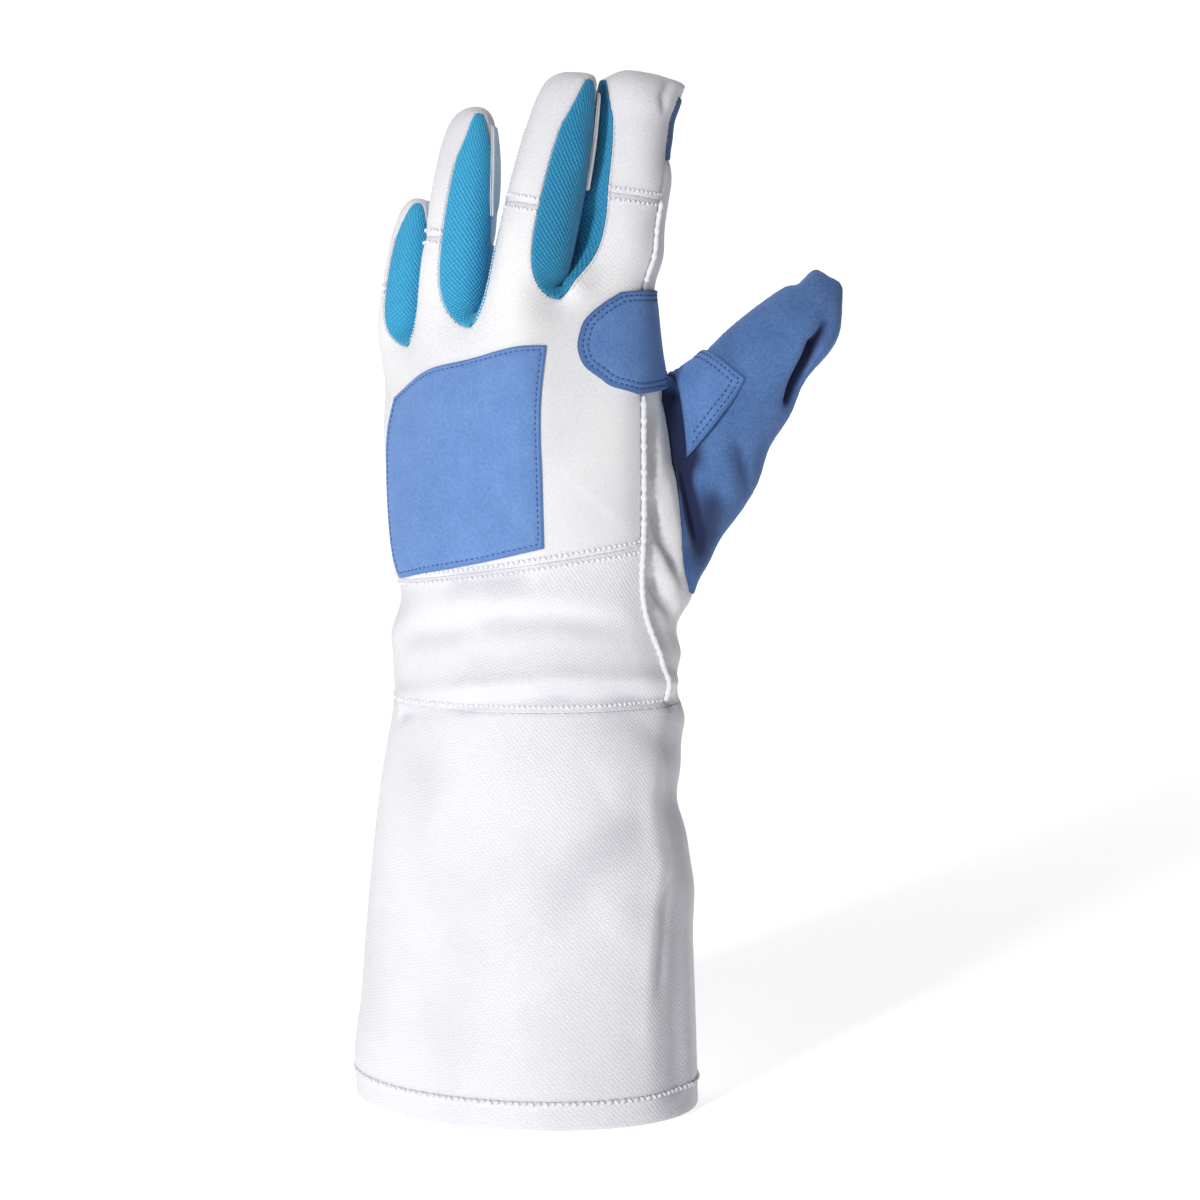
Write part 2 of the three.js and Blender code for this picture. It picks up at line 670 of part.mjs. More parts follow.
// The wall of one panel: its faces outside, the same faces a wall's thickness inwards, and its edges
// between them. Along its edges it is drawn in by half of the gap that a seam leaves.
function panelGeometry(skin, normals, { panel, wall, gap = SEAM_GAP }) {
  const faces = skin.faces.filter((face) => face.panel === panel);
  const sides = new Map();
  faces.forEach(({ ids }) => {
    ids.forEach((id, k) => {
      const next = ids[(k + 1) % ids.length];
      if (!sides.delete(`${next}>${id}`)) {
        sides.set(`${id}>${next}`, [id, next]);
      }
    });
  });
  const pulls = new Map();
  sides.forEach(([from, to]) => {
    const along = skin.points[to].clone().sub(skin.points[from]);
    [from, to].forEach((id) => {
      const pull = normals[id].clone().cross(along).normalize();
      pulls.set(id, [...(pulls.get(id) ?? []), pull]);
    });
  });
  const order = new Map();
  const outer = [];
  const inner = [];
  faces.flatMap((face) => face.ids).forEach((id) => {
    if (!order.has(id)) {
      const corner = skin.points[id].clone();
      const [first, second] = pulls.get(id) ?? [];
      if (first) {
        const spread = Math.max(1 + first.dot(second), MITRE_LIMIT);
        corner.addScaledVector(first.clone().add(second), gap / 2 / spread);
      }
      order.set(id, outer.length);
      outer.push(corner);
      inner.push(corner.clone().addScaledVector(normals[id], -wall));
    }
  });
  const depth = outer.length;
  const triangles = [];
  faces.forEach(({ ids }) => {
    const [a, b, c, d] = ids.map((id) => order.get(id));
    triangles.push([a, b, c], [a, c, d]);
    triangles.push([a + depth, c + depth, b + depth], [a + depth, d + depth, c + depth]);
  });
  sides.forEach(([from, to]) => {
    const [a, b] = [order.get(from), order.get(to)];
    triangles.push([b, a, a + depth], [b, a + depth, b + depth]);
  });
  return closedGeometry([...outer, ...inner], triangles);
}

// Looks up the skin by chart and place, so that patches and welts follow it. Places between the corners
// of the smoothed net are worked out from the four corners around them.
class Charts {
  constructor(skin, normals) {
    this.step = 0.5;
    this.skin = skin;
    this.normals = normals;
    this.corners = new Map();
    skin.faces.forEach((face) => {
      face.ids.forEach((id, k) => this.corners.set(this.key(face.chart, ...face.places[k]), id));
    });
  }

  key(chart, u, v) {
    return `${chart} ${Math.round(u / this.step)} ${Math.round(v / this.step)}`;
  }

  corner(chart, u, v) {
    const column = THREE.MathUtils.euclideanModulo(u, chartColumns(chart));
    const id = this.corners.get(this.key(chart, column, v));
    return { position: this.skin.points[id], normal: this.normals[id] };
  }

  // A place on the skin, lifted off it along its outward direction.
  at(chart, u, v, lift) {
    const [u0, v0] = [u, v].map((value) => Math.floor(value / this.step + 1e-6) * this.step);
    const [across, up] = [(u - u0) / this.step, (v - v0) / this.step];
    const sample = (field) => {
      const pick = (du, dv) => this.corner(chart, u0 + du * this.step, v0 + dv * this.step)[field];
      const farU = across > 1e-6 ? 1 : 0;
      const farV = up > 1e-6 ? 1 : 0;
      const low = between(pick(0, 0), pick(farU, 0), across);
      return low.lerp(between(pick(0, farV), pick(farU, farV), across), up);
    };
    return sample('position').addScaledVector(sample('normal').normalize(), lift);
  }
}

// A patch stitched on top of the skin, between the levels of its table.
function patchGeometry(charts, { chart, levels, across, steps, lift }) {
  const rows = [];
  levels.forEach((level, k) => {
    const next = levels[k + 1] ?? level;
    const count = levels[k + 1] ? steps : 1;
    for (let step = 0; step < count; step += 1) {
      const blend = (field) => mix(level[field], next[field], step / count);
      rows.push({ from: blend('from'), row: blend('row'), to: blend('to'), endRow: blend('endRow') });
    }
  });
  const corners = [];
  [lift, lift + PATCH_WALL].forEach((height) => {
    rows.forEach(({ from, row, to, endRow }) => {
      for (let k = 0; k <= across; k += 1) {
        corners.push(charts.at(chart, mix(from, to, k / across), mix(row, endRow, k / across), height));
      }
    });
  });
  const layer = rows.length * (across + 1);
  const id = (row, k, top) => top * layer + row * (across + 1) + k;
  const triangles = [];
  const quad = (a, b, c, d) => triangles.push([a, b, c], [a, c, d]);
  for (let row = 0; row + 1 < rows.length; row += 1) {
    for (let k = 0; k < across; k += 1) {
      quad(id(row, k, 1), id(row + 1, k, 1), id(row + 1, k + 1, 1), id(row, k + 1, 1));
      quad(id(row, k, 0), id(row, k + 1, 0), id(row + 1, k + 1, 0), id(row + 1, k, 0));
    }
    quad(id(row, 0, 0), id(row + 1, 0, 0), id(row + 1, 0, 1), id(row, 0, 1));
    quad(id(row, across, 0), id(row, across, 1), id(row + 1, across, 1), id(row + 1, across, 0));
  }
  const last = rows.length - 1;
  for (let k = 0; k < across; k += 1) {
    quad(id(0, k, 0), id(0, k, 1), id(0, k + 1, 1), id(0, k + 1, 0));
    quad(id(last, k, 0), id(last, k + 1, 0), id(last, k + 1, 1), id(last, k, 1));
  }
  return closedGeometry(corners, triangles);
}

// A raised welt that lies along a seam of the skin.
function weltGeometry(charts, { chart, column, from, to, steps }) {
  const lift = WELT_DIAMETER / 2 + SEAM_GAP;
  const route = Array.from({ length: steps + 1 }, (_, k) =>
    charts.at(chart, column, mix(from, to, k / steps), lift),
  );
  const outline = new THREE.Shape();
  outline.absarc(0, 0, WELT_DIAMETER / 2, 0, 2 * Math.PI);
  return new THREE.ExtrudeGeometry(outline, {
    curveSegments: WELT_SIDES,
    steps: 2 * steps,
    extrudePath: new THREE.CatmullRomCurve3(route),
  });
}

function makePiece(name, geometry, finish) {
  const piece = new THREE.Mesh(geometry, new THREE.MeshStandardMaterial(finish));
  piece.name = name;
  return piece;
}

const { ids, webs } = buildSleeve();
FINGERS.forEach((finger, i) => buildFinger(finger, i, ids, webs));
buildThumb(ids);

const skin = smooth(net);
dentSkin(skin);
const normals = pointNormals(skin);
const charts = new Charts(skin, normals);
const glove = new THREE.Group();

const PANELS = [
  { panel: 'hem_band', wall: CUFF_WALL, finish: WHITE },
  { panel: 'cuff', wall: CUFF_WALL, finish: WHITE },
  { panel: 'wrist_panel', wall: CUFF_WALL, finish: WHITE },
  { panel: 'side_panel', wall: PADDED_WALL, finish: WHITE },
  { panel: 'back_panel', wall: PADDED_WALL, finish: WHITE },
  { panel: 'palm_panel', wall: SUEDE_WALL, finish: BLUE },
  { panel: 'thumb_back', wall: SUEDE_WALL, finish: BLUE, gap: THUMB_SEAM_GAP },
  { panel: 'thumb_palm', wall: SUEDE_WALL, finish: BLUE, gap: THUMB_SEAM_GAP },
  ...FINGERS.map(({ name }) => ({ panel: `${name}_tip_panel`, wall: PADDED_WALL, finish: WHITE })),
  ...FINGERS.slice(1).map(({ name }, i) => ({
    panel: `gusset_${FINGERS[i].name}_${name}`, wall: STRETCH_WALL, finish: CYAN,
  })),
];
PANELS.forEach((piece) => {
  glove.add(makePiece(piece.panel, panelGeometry(skin, normals, piece), piece.finish));
});

const binding = { levels: BINDING_LEVELS, across: 2, steps: 3, lift: BINDING_LIFT, finish: WHITE };
const PATCHES = [
  {
    name: 'back_patch', chart: 'sleeve', levels: BACK_PATCH_LEVELS, across: 10, steps: 3,
    lift: PATCH_LIFT, finish: BLUE,
  },
  {
    name: 'index_tab', chart: 'sleeve', levels: TAB_LEVELS, across: 14, steps: 2,
    lift: PATCH_LIFT, finish: BLUE,
  },
  {
    name: 'thumb_patch', chart: 'thumb', levels: THUMB_PATCH_LEVELS, across: 8, steps: 2,
    lift: PATCH_LIFT, finish: BLUE,
  },
  { name: 'middle_binding', chart: 'middle', ...binding },
  { name: 'ring_binding', chart: 'ring', ...binding },
];
PATCHES.forEach((patch) => {
  glove.add(makePiece(patch.name, patchGeometry(charts, patch), patch.finish));
});

WELTS.forEach((welt) => {
  glove.add(makePiece(welt.name, weltGeometry(charts, welt), WHITE));
});

export default glove;
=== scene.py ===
"""Dresses the left-hand fencing glove: panels sewn from one skin, suede patches, welts and stitches.

Shapes are worked out in millimetres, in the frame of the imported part, and are made in metres.
X runs from the little finger to the thumb, Y from the back of the hand to the palm, and Z up.
"""

import json
import logging
import math
from dataclasses import dataclass, field
from enum import Enum
from typing import Sequence

import bpy
import numpy as np
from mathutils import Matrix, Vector
from mathutils.bvhtree import BVHTree
from mathutils.kdtree import KDTree

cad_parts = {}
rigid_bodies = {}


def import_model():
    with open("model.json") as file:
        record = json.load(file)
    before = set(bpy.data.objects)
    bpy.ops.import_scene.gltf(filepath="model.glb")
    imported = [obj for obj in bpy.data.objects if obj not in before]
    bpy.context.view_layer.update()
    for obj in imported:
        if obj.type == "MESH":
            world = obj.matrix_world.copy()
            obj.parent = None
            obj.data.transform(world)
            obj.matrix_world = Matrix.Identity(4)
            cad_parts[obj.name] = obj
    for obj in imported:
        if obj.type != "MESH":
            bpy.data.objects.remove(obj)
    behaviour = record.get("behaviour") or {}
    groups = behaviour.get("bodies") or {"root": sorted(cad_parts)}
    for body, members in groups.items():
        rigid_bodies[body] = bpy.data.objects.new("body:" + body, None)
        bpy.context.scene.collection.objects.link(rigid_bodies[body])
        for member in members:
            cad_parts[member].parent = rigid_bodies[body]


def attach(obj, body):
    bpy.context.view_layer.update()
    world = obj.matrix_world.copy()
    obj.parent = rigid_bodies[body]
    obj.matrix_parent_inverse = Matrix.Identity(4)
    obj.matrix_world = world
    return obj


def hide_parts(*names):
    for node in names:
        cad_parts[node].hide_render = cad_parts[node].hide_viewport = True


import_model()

LOG = logging.getLogger("glove")
MM = 0.001
LEVELS = 4
STEPS = 2**LEVELS
PICTURE = 1200
BODY = "root"
# how cloth lies and welts are made, in millimetres but for the number of sides
SWELL_REACH = 7.0
RIPPLE = 0.12
RIPPLE_REACH = 4.0
EDGE_SHARES = (0.0, 0.3, 0.65, 1.0)
EDGE_FAR = 9.0
CROWN_REACH = 6.0
ROUND_EDGE = 0.8
FURROW = 0.32
FURROW_WIDTH = 0.55
WELT_SIDES = 10
WELT_STITCH = 3.1
# how wide a cell of a finger's cap and of a patch's chart is taken for the cloth's grain
CAP_CELL = 9.0
PATCH_CELL = 14.0
Colour = tuple[float, float, float]
Point = tuple[float, float, float]
Place = tuple[float, float]
Corner = tuple[int, float, float]


class Slot(Enum):
    """The record's material slots."""

    CANVAS = "white_canvas"
    PADDED = "white_padded"
    SUEDE = "blue_suede"
    KNIT = "cyan_knit"
    TRIM = "white_trim"


class Row(Enum):
    """How a row of stitches runs: the swing of each stitch about the row, in radians."""

    STRAIGHT = 0.0
    ZIGZAG = 0.7


class Way(Enum):
    """The way round a face of the net, as steps up and along from its first corner."""

    SLEEVE = ((0, 0), (1, 0), (1, 1), (0, 1))
    LIMB = ((0, 0), (0, 1), (1, 1), (1, 0))


def vector(x: float, y: float, z: float) -> np.ndarray:
    """Returns a point or a direction."""
    return np.array((x, y, z), float)


def mix(low: float, high: float, share: float | np.ndarray) -> float | np.ndarray:
    """Returns the value at a share of the way from low to high."""
    return low + (high - low) * share


def unit(vectors: np.ndarray) -> np.ndarray:
    """Returns vectors of length 1 that point the same way."""
    return vectors / np.maximum(np.linalg.norm(vectors, axis=-1, keepdims=True), 1e-12)


def rounding(columns: int) -> float:
    """Returns how far a ring's corners are set out, because smoothing draws them in."""
    return 3 / (2 + math.cos(2 * math.pi / columns))


def travelled(line: np.ndarray) -> np.ndarray:
    """Returns how far each point of a line lies along it."""
    return np.concatenate([[0], np.cumsum(np.linalg.norm(np.diff(line, axis=0), axis=1))])


def nearest(spots: np.ndarray, targets: np.ndarray) -> tuple[np.ndarray, np.ndarray]:
    """Finds the target that is nearest to each spot.

    Args:
        spots: Positions.
        targets: The positions that are looked through.

    Returns:
        The nearest targets' numbers, and how far away they are.
    """
    tree = KDTree(len(targets))
    for number, target in enumerate(targets):
        tree.insert(target, number)
    tree.balance()
    numbers, distances = zip(*(tree.find(spot)[1:] for spot in spots))
    return np.array(numbers), np.array(distances)


def link(name: str, data: bpy.types.ID) -> bpy.types.Object:
    """Makes an object and links it to the scene.

    Args:
        name: Its name.
        data: Its mesh, light or camera.

    Returns:
        The object.
    """
    made = bpy.data.objects.new(name, data)
    bpy.context.scene.collection.objects.link(made)
    return made


@dataclass(frozen=True)
class Ring:
    """An oval ring of the sleeve: its size, height, slope, turn and the side seam's place."""

    width: float
    depth: float
    centre: float
    height: float
    turn: float
    seam: float
    slope: float = 0.0


@dataclass(frozen=True)
class Finger:
    """One finger of the net. Lengths are shares of the hand's, and turns are degrees."""

    name: str
    length: float
    across: float
    behind: float
    knuckle: float
    web: float
    join: float
    arch: float
    twist: float
    lean: float
    tilt: float
    width: float
    depth: float
    tip: float


@dataclass(frozen=True)
class Face:
    """A face of the net: the panel and chart it belongs to, its corners and their places."""

    panel: str
    chart: str
    ids: tuple[int, ...]
    places: tuple[Place, ...]


FINGERS = (
    Finger("index", 81, 0.272, 0.02, 1.03, 0.96, 0.64, -9, -14, 8, 2, 1.04, 0.98, 1.18),
    Finger("middle", 90, -0.065, -0.12, 0.95, 0.85, 0.56, 8, 52, 12.5, 5, 1.05, 1.03, 0.8),
    Finger("ring", 87, -0.33, 0.04, 0.84, 0.79, 0.56, 37, 74, 6.5, 5, 0.98, 0.98, 0.8),
    Finger("little", 61, -0.5, 0.29, 0.75, 0.7, 0.5, 54, 104, 6.5, 5, 0.9, 0.92, 0.8),
)
FINGER_NAMES = tuple(finger.name for finger in FINGERS)
CUFF_ROWS = ((0.3, 0.86, 15, 24), (0.59, 0.6, 14, 24), (0.85, 0.3, 12, 26), (1, -0.05, 12, 29))
WRIST_ROWS = ((0.3, 1.03, 1.0, 12, 36), (0.64, 0.97, 0.92, 11, 49), (1, 1.02, 0.88, 10, 49))
PALM_ROWS = ((0.3, 0.18, 0.0, 0.02), (0.6, 0.52, 0.03, 0.05), (0.81, 0.8, 0.03, 0.04))
FINGER_ROWS = (
    (0.13, -0.04, 0.8, 36, 131),
    (0.4, 0.0, 1, 41, 132),
    (0.69, 0.3, 1, 46, 128),
    (0.93, 0.95, 1, 70, 106),
)
THUMB_ROWS = (
    (0.255, 0.22, 1.38, 1.06, 20),
    (0.44, 0.5, 1.06, 1.02, 31),
    (0.62, 0.71, 0.8, 0.92, 36),
    (0.82, 0.88, 0.68, 0.78, 40),
)


@dataclass
class Pattern:
    """The glove's net of four-sided faces, laid out in rings as in the solid part."""

    cuff_length: float = 153
    mouth: tuple[float, float] = (132, 98)
    mouth_shift: float = -3.5
    wrist: tuple[float, float] = (107, 73)
    wrist_centre: float = -1.6
    wrist_length: float = 51
    hem_height: float = 4.5
    palm_length: float = 99
    hand_breadth: float = 102
    seam_slope: float = 0.16
    web_dip: float = 2
    web_rise: float = 6
    web_share: float = 0.49
    finger: tuple[float, float] = (29, 27)
    tip_reach: float = 1.03
    thumb: tuple[float, float] = (43, 31)
    thumb_reach: float = 67
    thumb_rise: float = 77
    thumb_setback: float = 9
    thumb_tip: tuple[float, float, float] = (0.94, 1.04, 0.24)
    sleeve_columns: int = 20
    finger_columns: int = 8
    thumb_columns: int = 10
    back_end: int = 8
    edge_end: int = 10
    palm_end: int = 18
    end_angles: tuple[float, float, float] = (172, 200, 334)
    cuff_seam: int = 5
    wrist_seam: int = 8
    knuckles: int = 12
    tip_seam: int = 2
    thumb_rows: tuple[int, int] = (7, 10)
    thumb_front: int = 19
    thumb_behind: int = 17
    points: list[np.ndarray] = field(default_factory=list)
    faces: list[Face] = field(default_factory=list)

    def add(self, position: np.ndarray) -> int:
        """Adds a point and returns its number."""
        self.points.append(position)
        return len(self.points) - 1

    def face(self, panel: str, chart: str, corners: Sequence[Corner]) -> None:
        """Adds a face from corners of a point's number, a column and a row."""
        ids = tuple(corner[0] for corner in corners)
        self.faces.append(Face(panel, chart, ids, tuple(corner[1:] for corner in corners)))

    @staticmethod
    def cell(rings: list[list[int]], row: int, column: int, way: Way) -> list[Corner]:
        """Finds the corners of the face between two rings and two columns.

        Args:
            rings: The numbers of the rings' points.
            row: The lower ring.
            column: The first column.
            way: The way round the face.

        Returns:
            Its corners.
        """
        corners = []
        for up, along in way.value:
            ring = rings[row + up]
            corners.append((ring[(column + along) % len(ring)], column + along, row + up))
        return corners

    def column_angle(self, column: int, seam: float) -> float:
        """Returns the angle of a sleeve column, in degrees round from the thumb's side."""
        stops = (0, self.back_end, self.edge_end, self.palm_end, self.sleeve_columns)
        return float(np.interp(column, stops, (seam, *self.end_angles, seam + 360)))

    def oval(self, ring: Ring) -> list[np.ndarray]:
        """Lays an oval ring, its long axis turned on the thumb's side.

        Args:
            ring: Its sizes and its place.

        Returns:
            Its corners.
        """
        turn = math.radians(ring.turn)
        along = vector(math.cos(turn), -math.sin(turn), 0)
        across = vector(-math.sin(turn), -math.cos(turn), 0)
        size = rounding(self.sleeve_columns) / 2
        corners = []
        for column in range(self.sleeve_columns):
            angle = math.radians(self.column_angle(column, ring.seam)) - turn
            corner = vector(ring.centre, 0, ring.height)
            corner += along * ring.width * size * math.cos(angle)
            corner += across * ring.depth * size * math.sin(angle)
            corner[2] += ring.slope * corner[0]
            corners.append(corner)
        return corners

    def root(self, finger: Finger) -> tuple[np.ndarray, np.ndarray, np.ndarray]:
        """Finds a finger's root in the arch of the knuckles.

        Args:
            finger: The finger.

        Returns:
            The root's centre, and the directions of its back and its side.
        """
        angle = math.radians(finger.arch)
        height = self.cuff_length + self.wrist_length + finger.knuckle * self.palm_length
        breadth = self.hand_breadth
        centre = vector(finger.across * breadth, finger.behind * breadth, height)
        back = vector(-math.sin(angle), -math.cos(angle), 0)
        return centre, back, vector(math.cos(angle), -math.sin(angle), 0)

    @staticmethod
    def corner(
        around: tuple[np.ndarray, np.ndarray, np.ndarray], degrees: float, half: Place, size: float = 1
    ) -> np.ndarray:
        """Returns a corner of a ring.

        Args:
            around: The ring's centre, and the directions of its back and its side.
            degrees: The corner's angle from the back.
            half: Half of the ring's width and depth.
            size: What both are multiplied by.

        Returns:
            The corner's position.
        """
        centre, back, side = around
        angle = math.radians(degrees)
        return centre + back * math.cos(angle) * half[1] * size + side * math.sin(angle) * half[0] * size

    def half(self, finger: Finger) -> Place:
        """Returns half of a finger's width and depth."""
        return finger.width * self.finger[0] / 2, finger.depth * self.finger[1] / 2

    def knuckle_ring(self) -> tuple[list[np.ndarray], list[np.ndarray]]:
        """Lays the ring from which the fingers grow.

        Returns:
            The ring's corners, and the webs between its two sides.
        """
        roots = [self.root(finger) for finger in FINGERS]
        ring: list[np.ndarray] = [vector(0, 0, 0)] * self.sleeve_columns
        webs = []
        for i, (finger, root) in enumerate(zip(FINGERS, roots)):
            ring[1 + 2 * i] = self.corner(root, 0, self.half(finger))
            ring[self.palm_end - 1 - 2 * i] = self.corner(root, 180, self.half(finger))
        for i, finger in enumerate(FINGERS[:-1]):
            height = self.cuff_length + self.wrist_length + finger.web * self.palm_length
            inwards = mix(roots[i][1], roots[i + 1][1], 0.5) * -self.web_dip
            back = mix(ring[1 + 2 * i], ring[3 + 2 * i], finger.join) + inwards
            low = self.palm_end - 3 - 2 * i
            palm = mix(ring[low + 2], ring[low], 0.5) - inwards
            saddle = mix(roots[i][0], roots[i + 1][0], self.web_share)
            back[2] = palm[2] = height
            saddle[2] = height + self.web_rise
            ring[2 + 2 * i] = back
            ring[low + 1] = palm
            webs.append(saddle)
        first, last = FINGERS[0], FINGERS[-1]
        seam_back, seam_palm = FINGER_ROWS[0][3:]
        ring[0] = self.corner(roots[0], seam_back, self.half(first))
        ring[-1] = self.corner(roots[0], 90, self.half(first))
        ring[self.palm_end] = self.corner(roots[0], seam_palm, self.half(first))
        ring[self.back_end] = self.corner(roots[-1], -seam_back, self.half(last))
        ring[self.back_end + 1] = self.corner(roots[-1], -90, self.half(last))
        ring[self.edge_end] = self.corner(roots[-1], -seam_palm, self.half(last))
        return ring, webs

    def cuff_ring(self, up: float, flare: float, turn: float, seam: float) -> list[np.ndarray]:
        """Lays a ring of the cuff.

        Args:
            up: Its height, as a share of the cuff's length.
            flare: 0 for the wrist's size, and 1 for the mouth's.
            turn: Its turn, in degrees.
            seam: The side seam's angle, in degrees.

        Returns:
            Its corners.
        """
        width, depth = (mix(low, high, flare) for low, high in zip(self.wrist, self.mouth))
        centre = self.wrist_centre + self.mouth_shift * flare
        return self.oval(Ring(width, depth, centre, up * self.cuff_length, turn, seam))

    def sleeve_rings(self, knuckles: list[np.ndarray]) -> list[list[np.ndarray]]:
        """Lays all rings of the sleeve.

        Args:
            knuckles: The ring of the knuckles.

        Returns:
            The rings, from the hem to the knuckles.
        """
        turn, seam = CUFF_ROWS[0][2:]
        hem = self.hem_height / self.cuff_length
        rings = [self.cuff_ring(0, 1, turn, seam), self.cuff_ring(hem, 1, turn, seam)]
        rings += [self.cuff_ring(*row) for row in CUFF_ROWS]
        for up, width, depth, turn, seam in WRIST_ROWS:
            size = (width * self.wrist[0], depth * self.wrist[1])
            height = self.cuff_length + up * self.wrist_length
            rings.append(self.oval(Ring(*size, self.wrist_centre, height, turn, seam, self.seam_slope * up)))
        wrist = rings[-1]
        for up, blend, back, palm in PALM_ROWS:
            ring = []
            for column, (low, high) in enumerate(zip(wrist, knuckles)):
                push = -back if column <= self.back_end else palm
                corner = mix(low, high, blend)
                corner[1] += push * self.wrist[1]
                corner[2] = mix(low[2], high[2], up)
                ring.append(corner)
            rings.append(ring)
        rings.append(knuckles)
        return rings

    def sleeve_panel(self, row: int, column: int) -> str:
        """Names the panel of a face of the sleeve.

        Args:
            row: The face's row.
            column: The face's column.

        Returns:
            The panel's name.
        """
        if row < self.cuff_seam:
            return "cuff" if row else "hem_band"
        if column >= self.palm_end:
            return "side_panel"
        if row < self.wrist_seam:
            return "wrist_panel"
        return "back_panel" if column <= self.back_end else "palm_panel"

    def sleeve(self) -> tuple[list[list[int]], list[int]]:
        """Builds the sleeve.

        Returns:
            The numbers of its rings' points, and of the webs.
        """
        ring, webs = self.knuckle_ring()
        ids = [[self.add(corner) for corner in corners] for corners in self.sleeve_rings(ring)]
        for row in range(len(ids) - 1):
            for column in range(self.sleeve_columns):
                beside = self.thumb_behind <= column < self.thumb_front
                if beside and self.thumb_rows[0] <= row < self.thumb_rows[1]:
                    continue
                corners = self.cell(ids, row, column, Way.SLEEVE)
                self.face(self.sleeve_panel(row, column), "sleeve", corners)
        return ids, [self.add(web) for web in webs]

    def finger_panel(self, i: int, row: int, column: int) -> str:
        """Names the panel of a face of a finger.

        Args:
            i: The finger's number.
            row: The face's row.
            column: The face's column.

        Returns:
            The panel's name.
        """
        back = "back_panel" if row < self.tip_seam else f"{FINGERS[i].name}_tip_panel"
        if column in (0, self.finger_columns - 1):
            return back
        if column in (1, 2):
            return f"gusset_{FINGERS[i - 1].name}_{FINGERS[i].name}" if i else "side_panel"
        if column in (3, 4):
            return "palm_panel"
        if i == len(FINGERS) - 1:
            return back if column == 6 else "palm_panel"
        return f"gusset_{FINGERS[i].name}_{FINGERS[i + 1].name}"

    def finger_root_ring(self, i: int, knuckles: list[int], webs: list[int]) -> list[int]:
        """Finds the points of the knuckles from which a finger grows.

        Args:
            i: The finger's number.
            knuckles: The numbers of the knuckles' points.
            webs: The numbers of the webs.

        Returns:
            The numbers of the points, round the finger.
        """
        back = 1 + 2 * i
        palm = self.palm_end - back
        thumb_side = webs[i - 1] if i else knuckles[-1]
        little_side = webs[i] if i < len(webs) else knuckles[self.back_end + 1]
        around = (back, back - 1, None, palm + 1, palm, palm - 1, None, back + 1)
        ring = [knuckles[column] if column is not None else -1 for column in around]
        ring[2], ring[6] = thumb_side, little_side
        return ring

    def grow_finger(self, i: int, knuckles: list[int], webs: list[int]) -> None:
        """Builds one finger on its ring of the knuckles.

        Args:
            i: The finger's number.
            knuckles: The numbers of the knuckles' points.
            webs: The numbers of the webs.
        """
        finger = FINGERS[i]
        lean, tilt = (math.tan(math.radians(angle)) for angle in (finger.lean, finger.tilt))
        axis = unit(vector(lean, tilt, 1))
        centre = self.root(finger)[0]
        rings = [self.finger_root_ring(i, knuckles, webs)]
        for at, taper, turn, seam_back, seam_palm in FINGER_ROWS:
            twist = math.radians(mix(finger.arch, finger.twist, turn))
            back = vector(-math.sin(twist), -math.cos(twist), 0)
            back = unit(back - axis * back.dot(axis))
            around = (centre + axis * at * finger.length, back, np.cross(axis, back))
            size = rounding(self.finger_columns) * (1 + taper * (finger.tip - 1))
            angles = (0, seam_back, 90, seam_palm, 180, -seam_palm, -90, -seam_back)
            rings.append([self.add(self.corner(around, a, self.half(finger), size)) for a in angles])
        for row in range(len(rings) - 1):
            for column in range(self.finger_columns):
                corners = self.cell(rings, row, column, Way.LIMB)
                self.face(self.finger_panel(i, row, column), finger.name, corners)
        tip = self.add(centre + axis * self.tip_reach * finger.length)
        end, last = rings[-1], len(rings) - 1
        for column in range(0, self.finger_columns, 2):
            steps = (column, column + 1, column + 2)
            corners = [(end[step % self.finger_columns], step, last) for step in steps]
            corners.append((tip, column + 1, last + 1))
            is_palm = column == 4 or (column == 2 and i == 0)
            panel = "palm_panel" if is_palm else f"{finger.name}_tip_panel"
            self.face(panel, f"{finger.name}_cap", corners)

    def grow_thumb(self, ids: list[list[int]]) -> None:
        """Builds the thumb out of its opening in the sleeve.

        Args:
            ids: The numbers of the sleeve's points, ring by ring.
        """
        first, last = self.thumb_rows
        ring = [ids[last][self.thumb_behind + 1]]
        ring += [ids[row][self.thumb_front] for row in range(last, first - 1, -1)]
        ring.append(ids[first][self.thumb_behind + 1])
        ring += [ids[row][self.thumb_behind] for row in range(first, last + 1)]
        top, bottom = (self.points[ids[row][self.thumb_front]] for row in (last, first))
        base = mix(top, bottom, 0.5)

        def station(across: float, up: float) -> np.ndarray:
            """Returns a point on the thumb's own line."""
            x = base[0] + across * self.thumb_reach
            return vector(x, self.thumb_setback, base[2] + up * self.thumb_rise)

        rings = [ring]
        for across, up, width, depth, slant_degrees in THUMB_ROWS:
            slant = math.radians(slant_degrees)
            outwards = vector(-math.sin(slant), 0, math.cos(slant))
            around = (station(across, up), outwards, vector(0, -1, 0))
            half = (depth * self.thumb[1] / 2, width * self.thumb[0] / 2)
            angles = (360 * column / self.thumb_columns for column in range(self.thumb_columns))
            size = rounding(self.thumb_columns)
            rings.append([self.add(self.corner(around, angle, half, size)) for angle in angles])
        for row in range(len(rings) - 1):
            for column in range(self.thumb_columns):
                panel = "thumb_back" if column < self.thumb_columns // 2 else "thumb_palm"
                self.face(panel, "thumb", self.cell(rings, row, column, Way.LIMB))
        self.cap_thumb(rings[-1], station(*self.thumb_tip[:2]), math.radians(THUMB_ROWS[-1][4]))

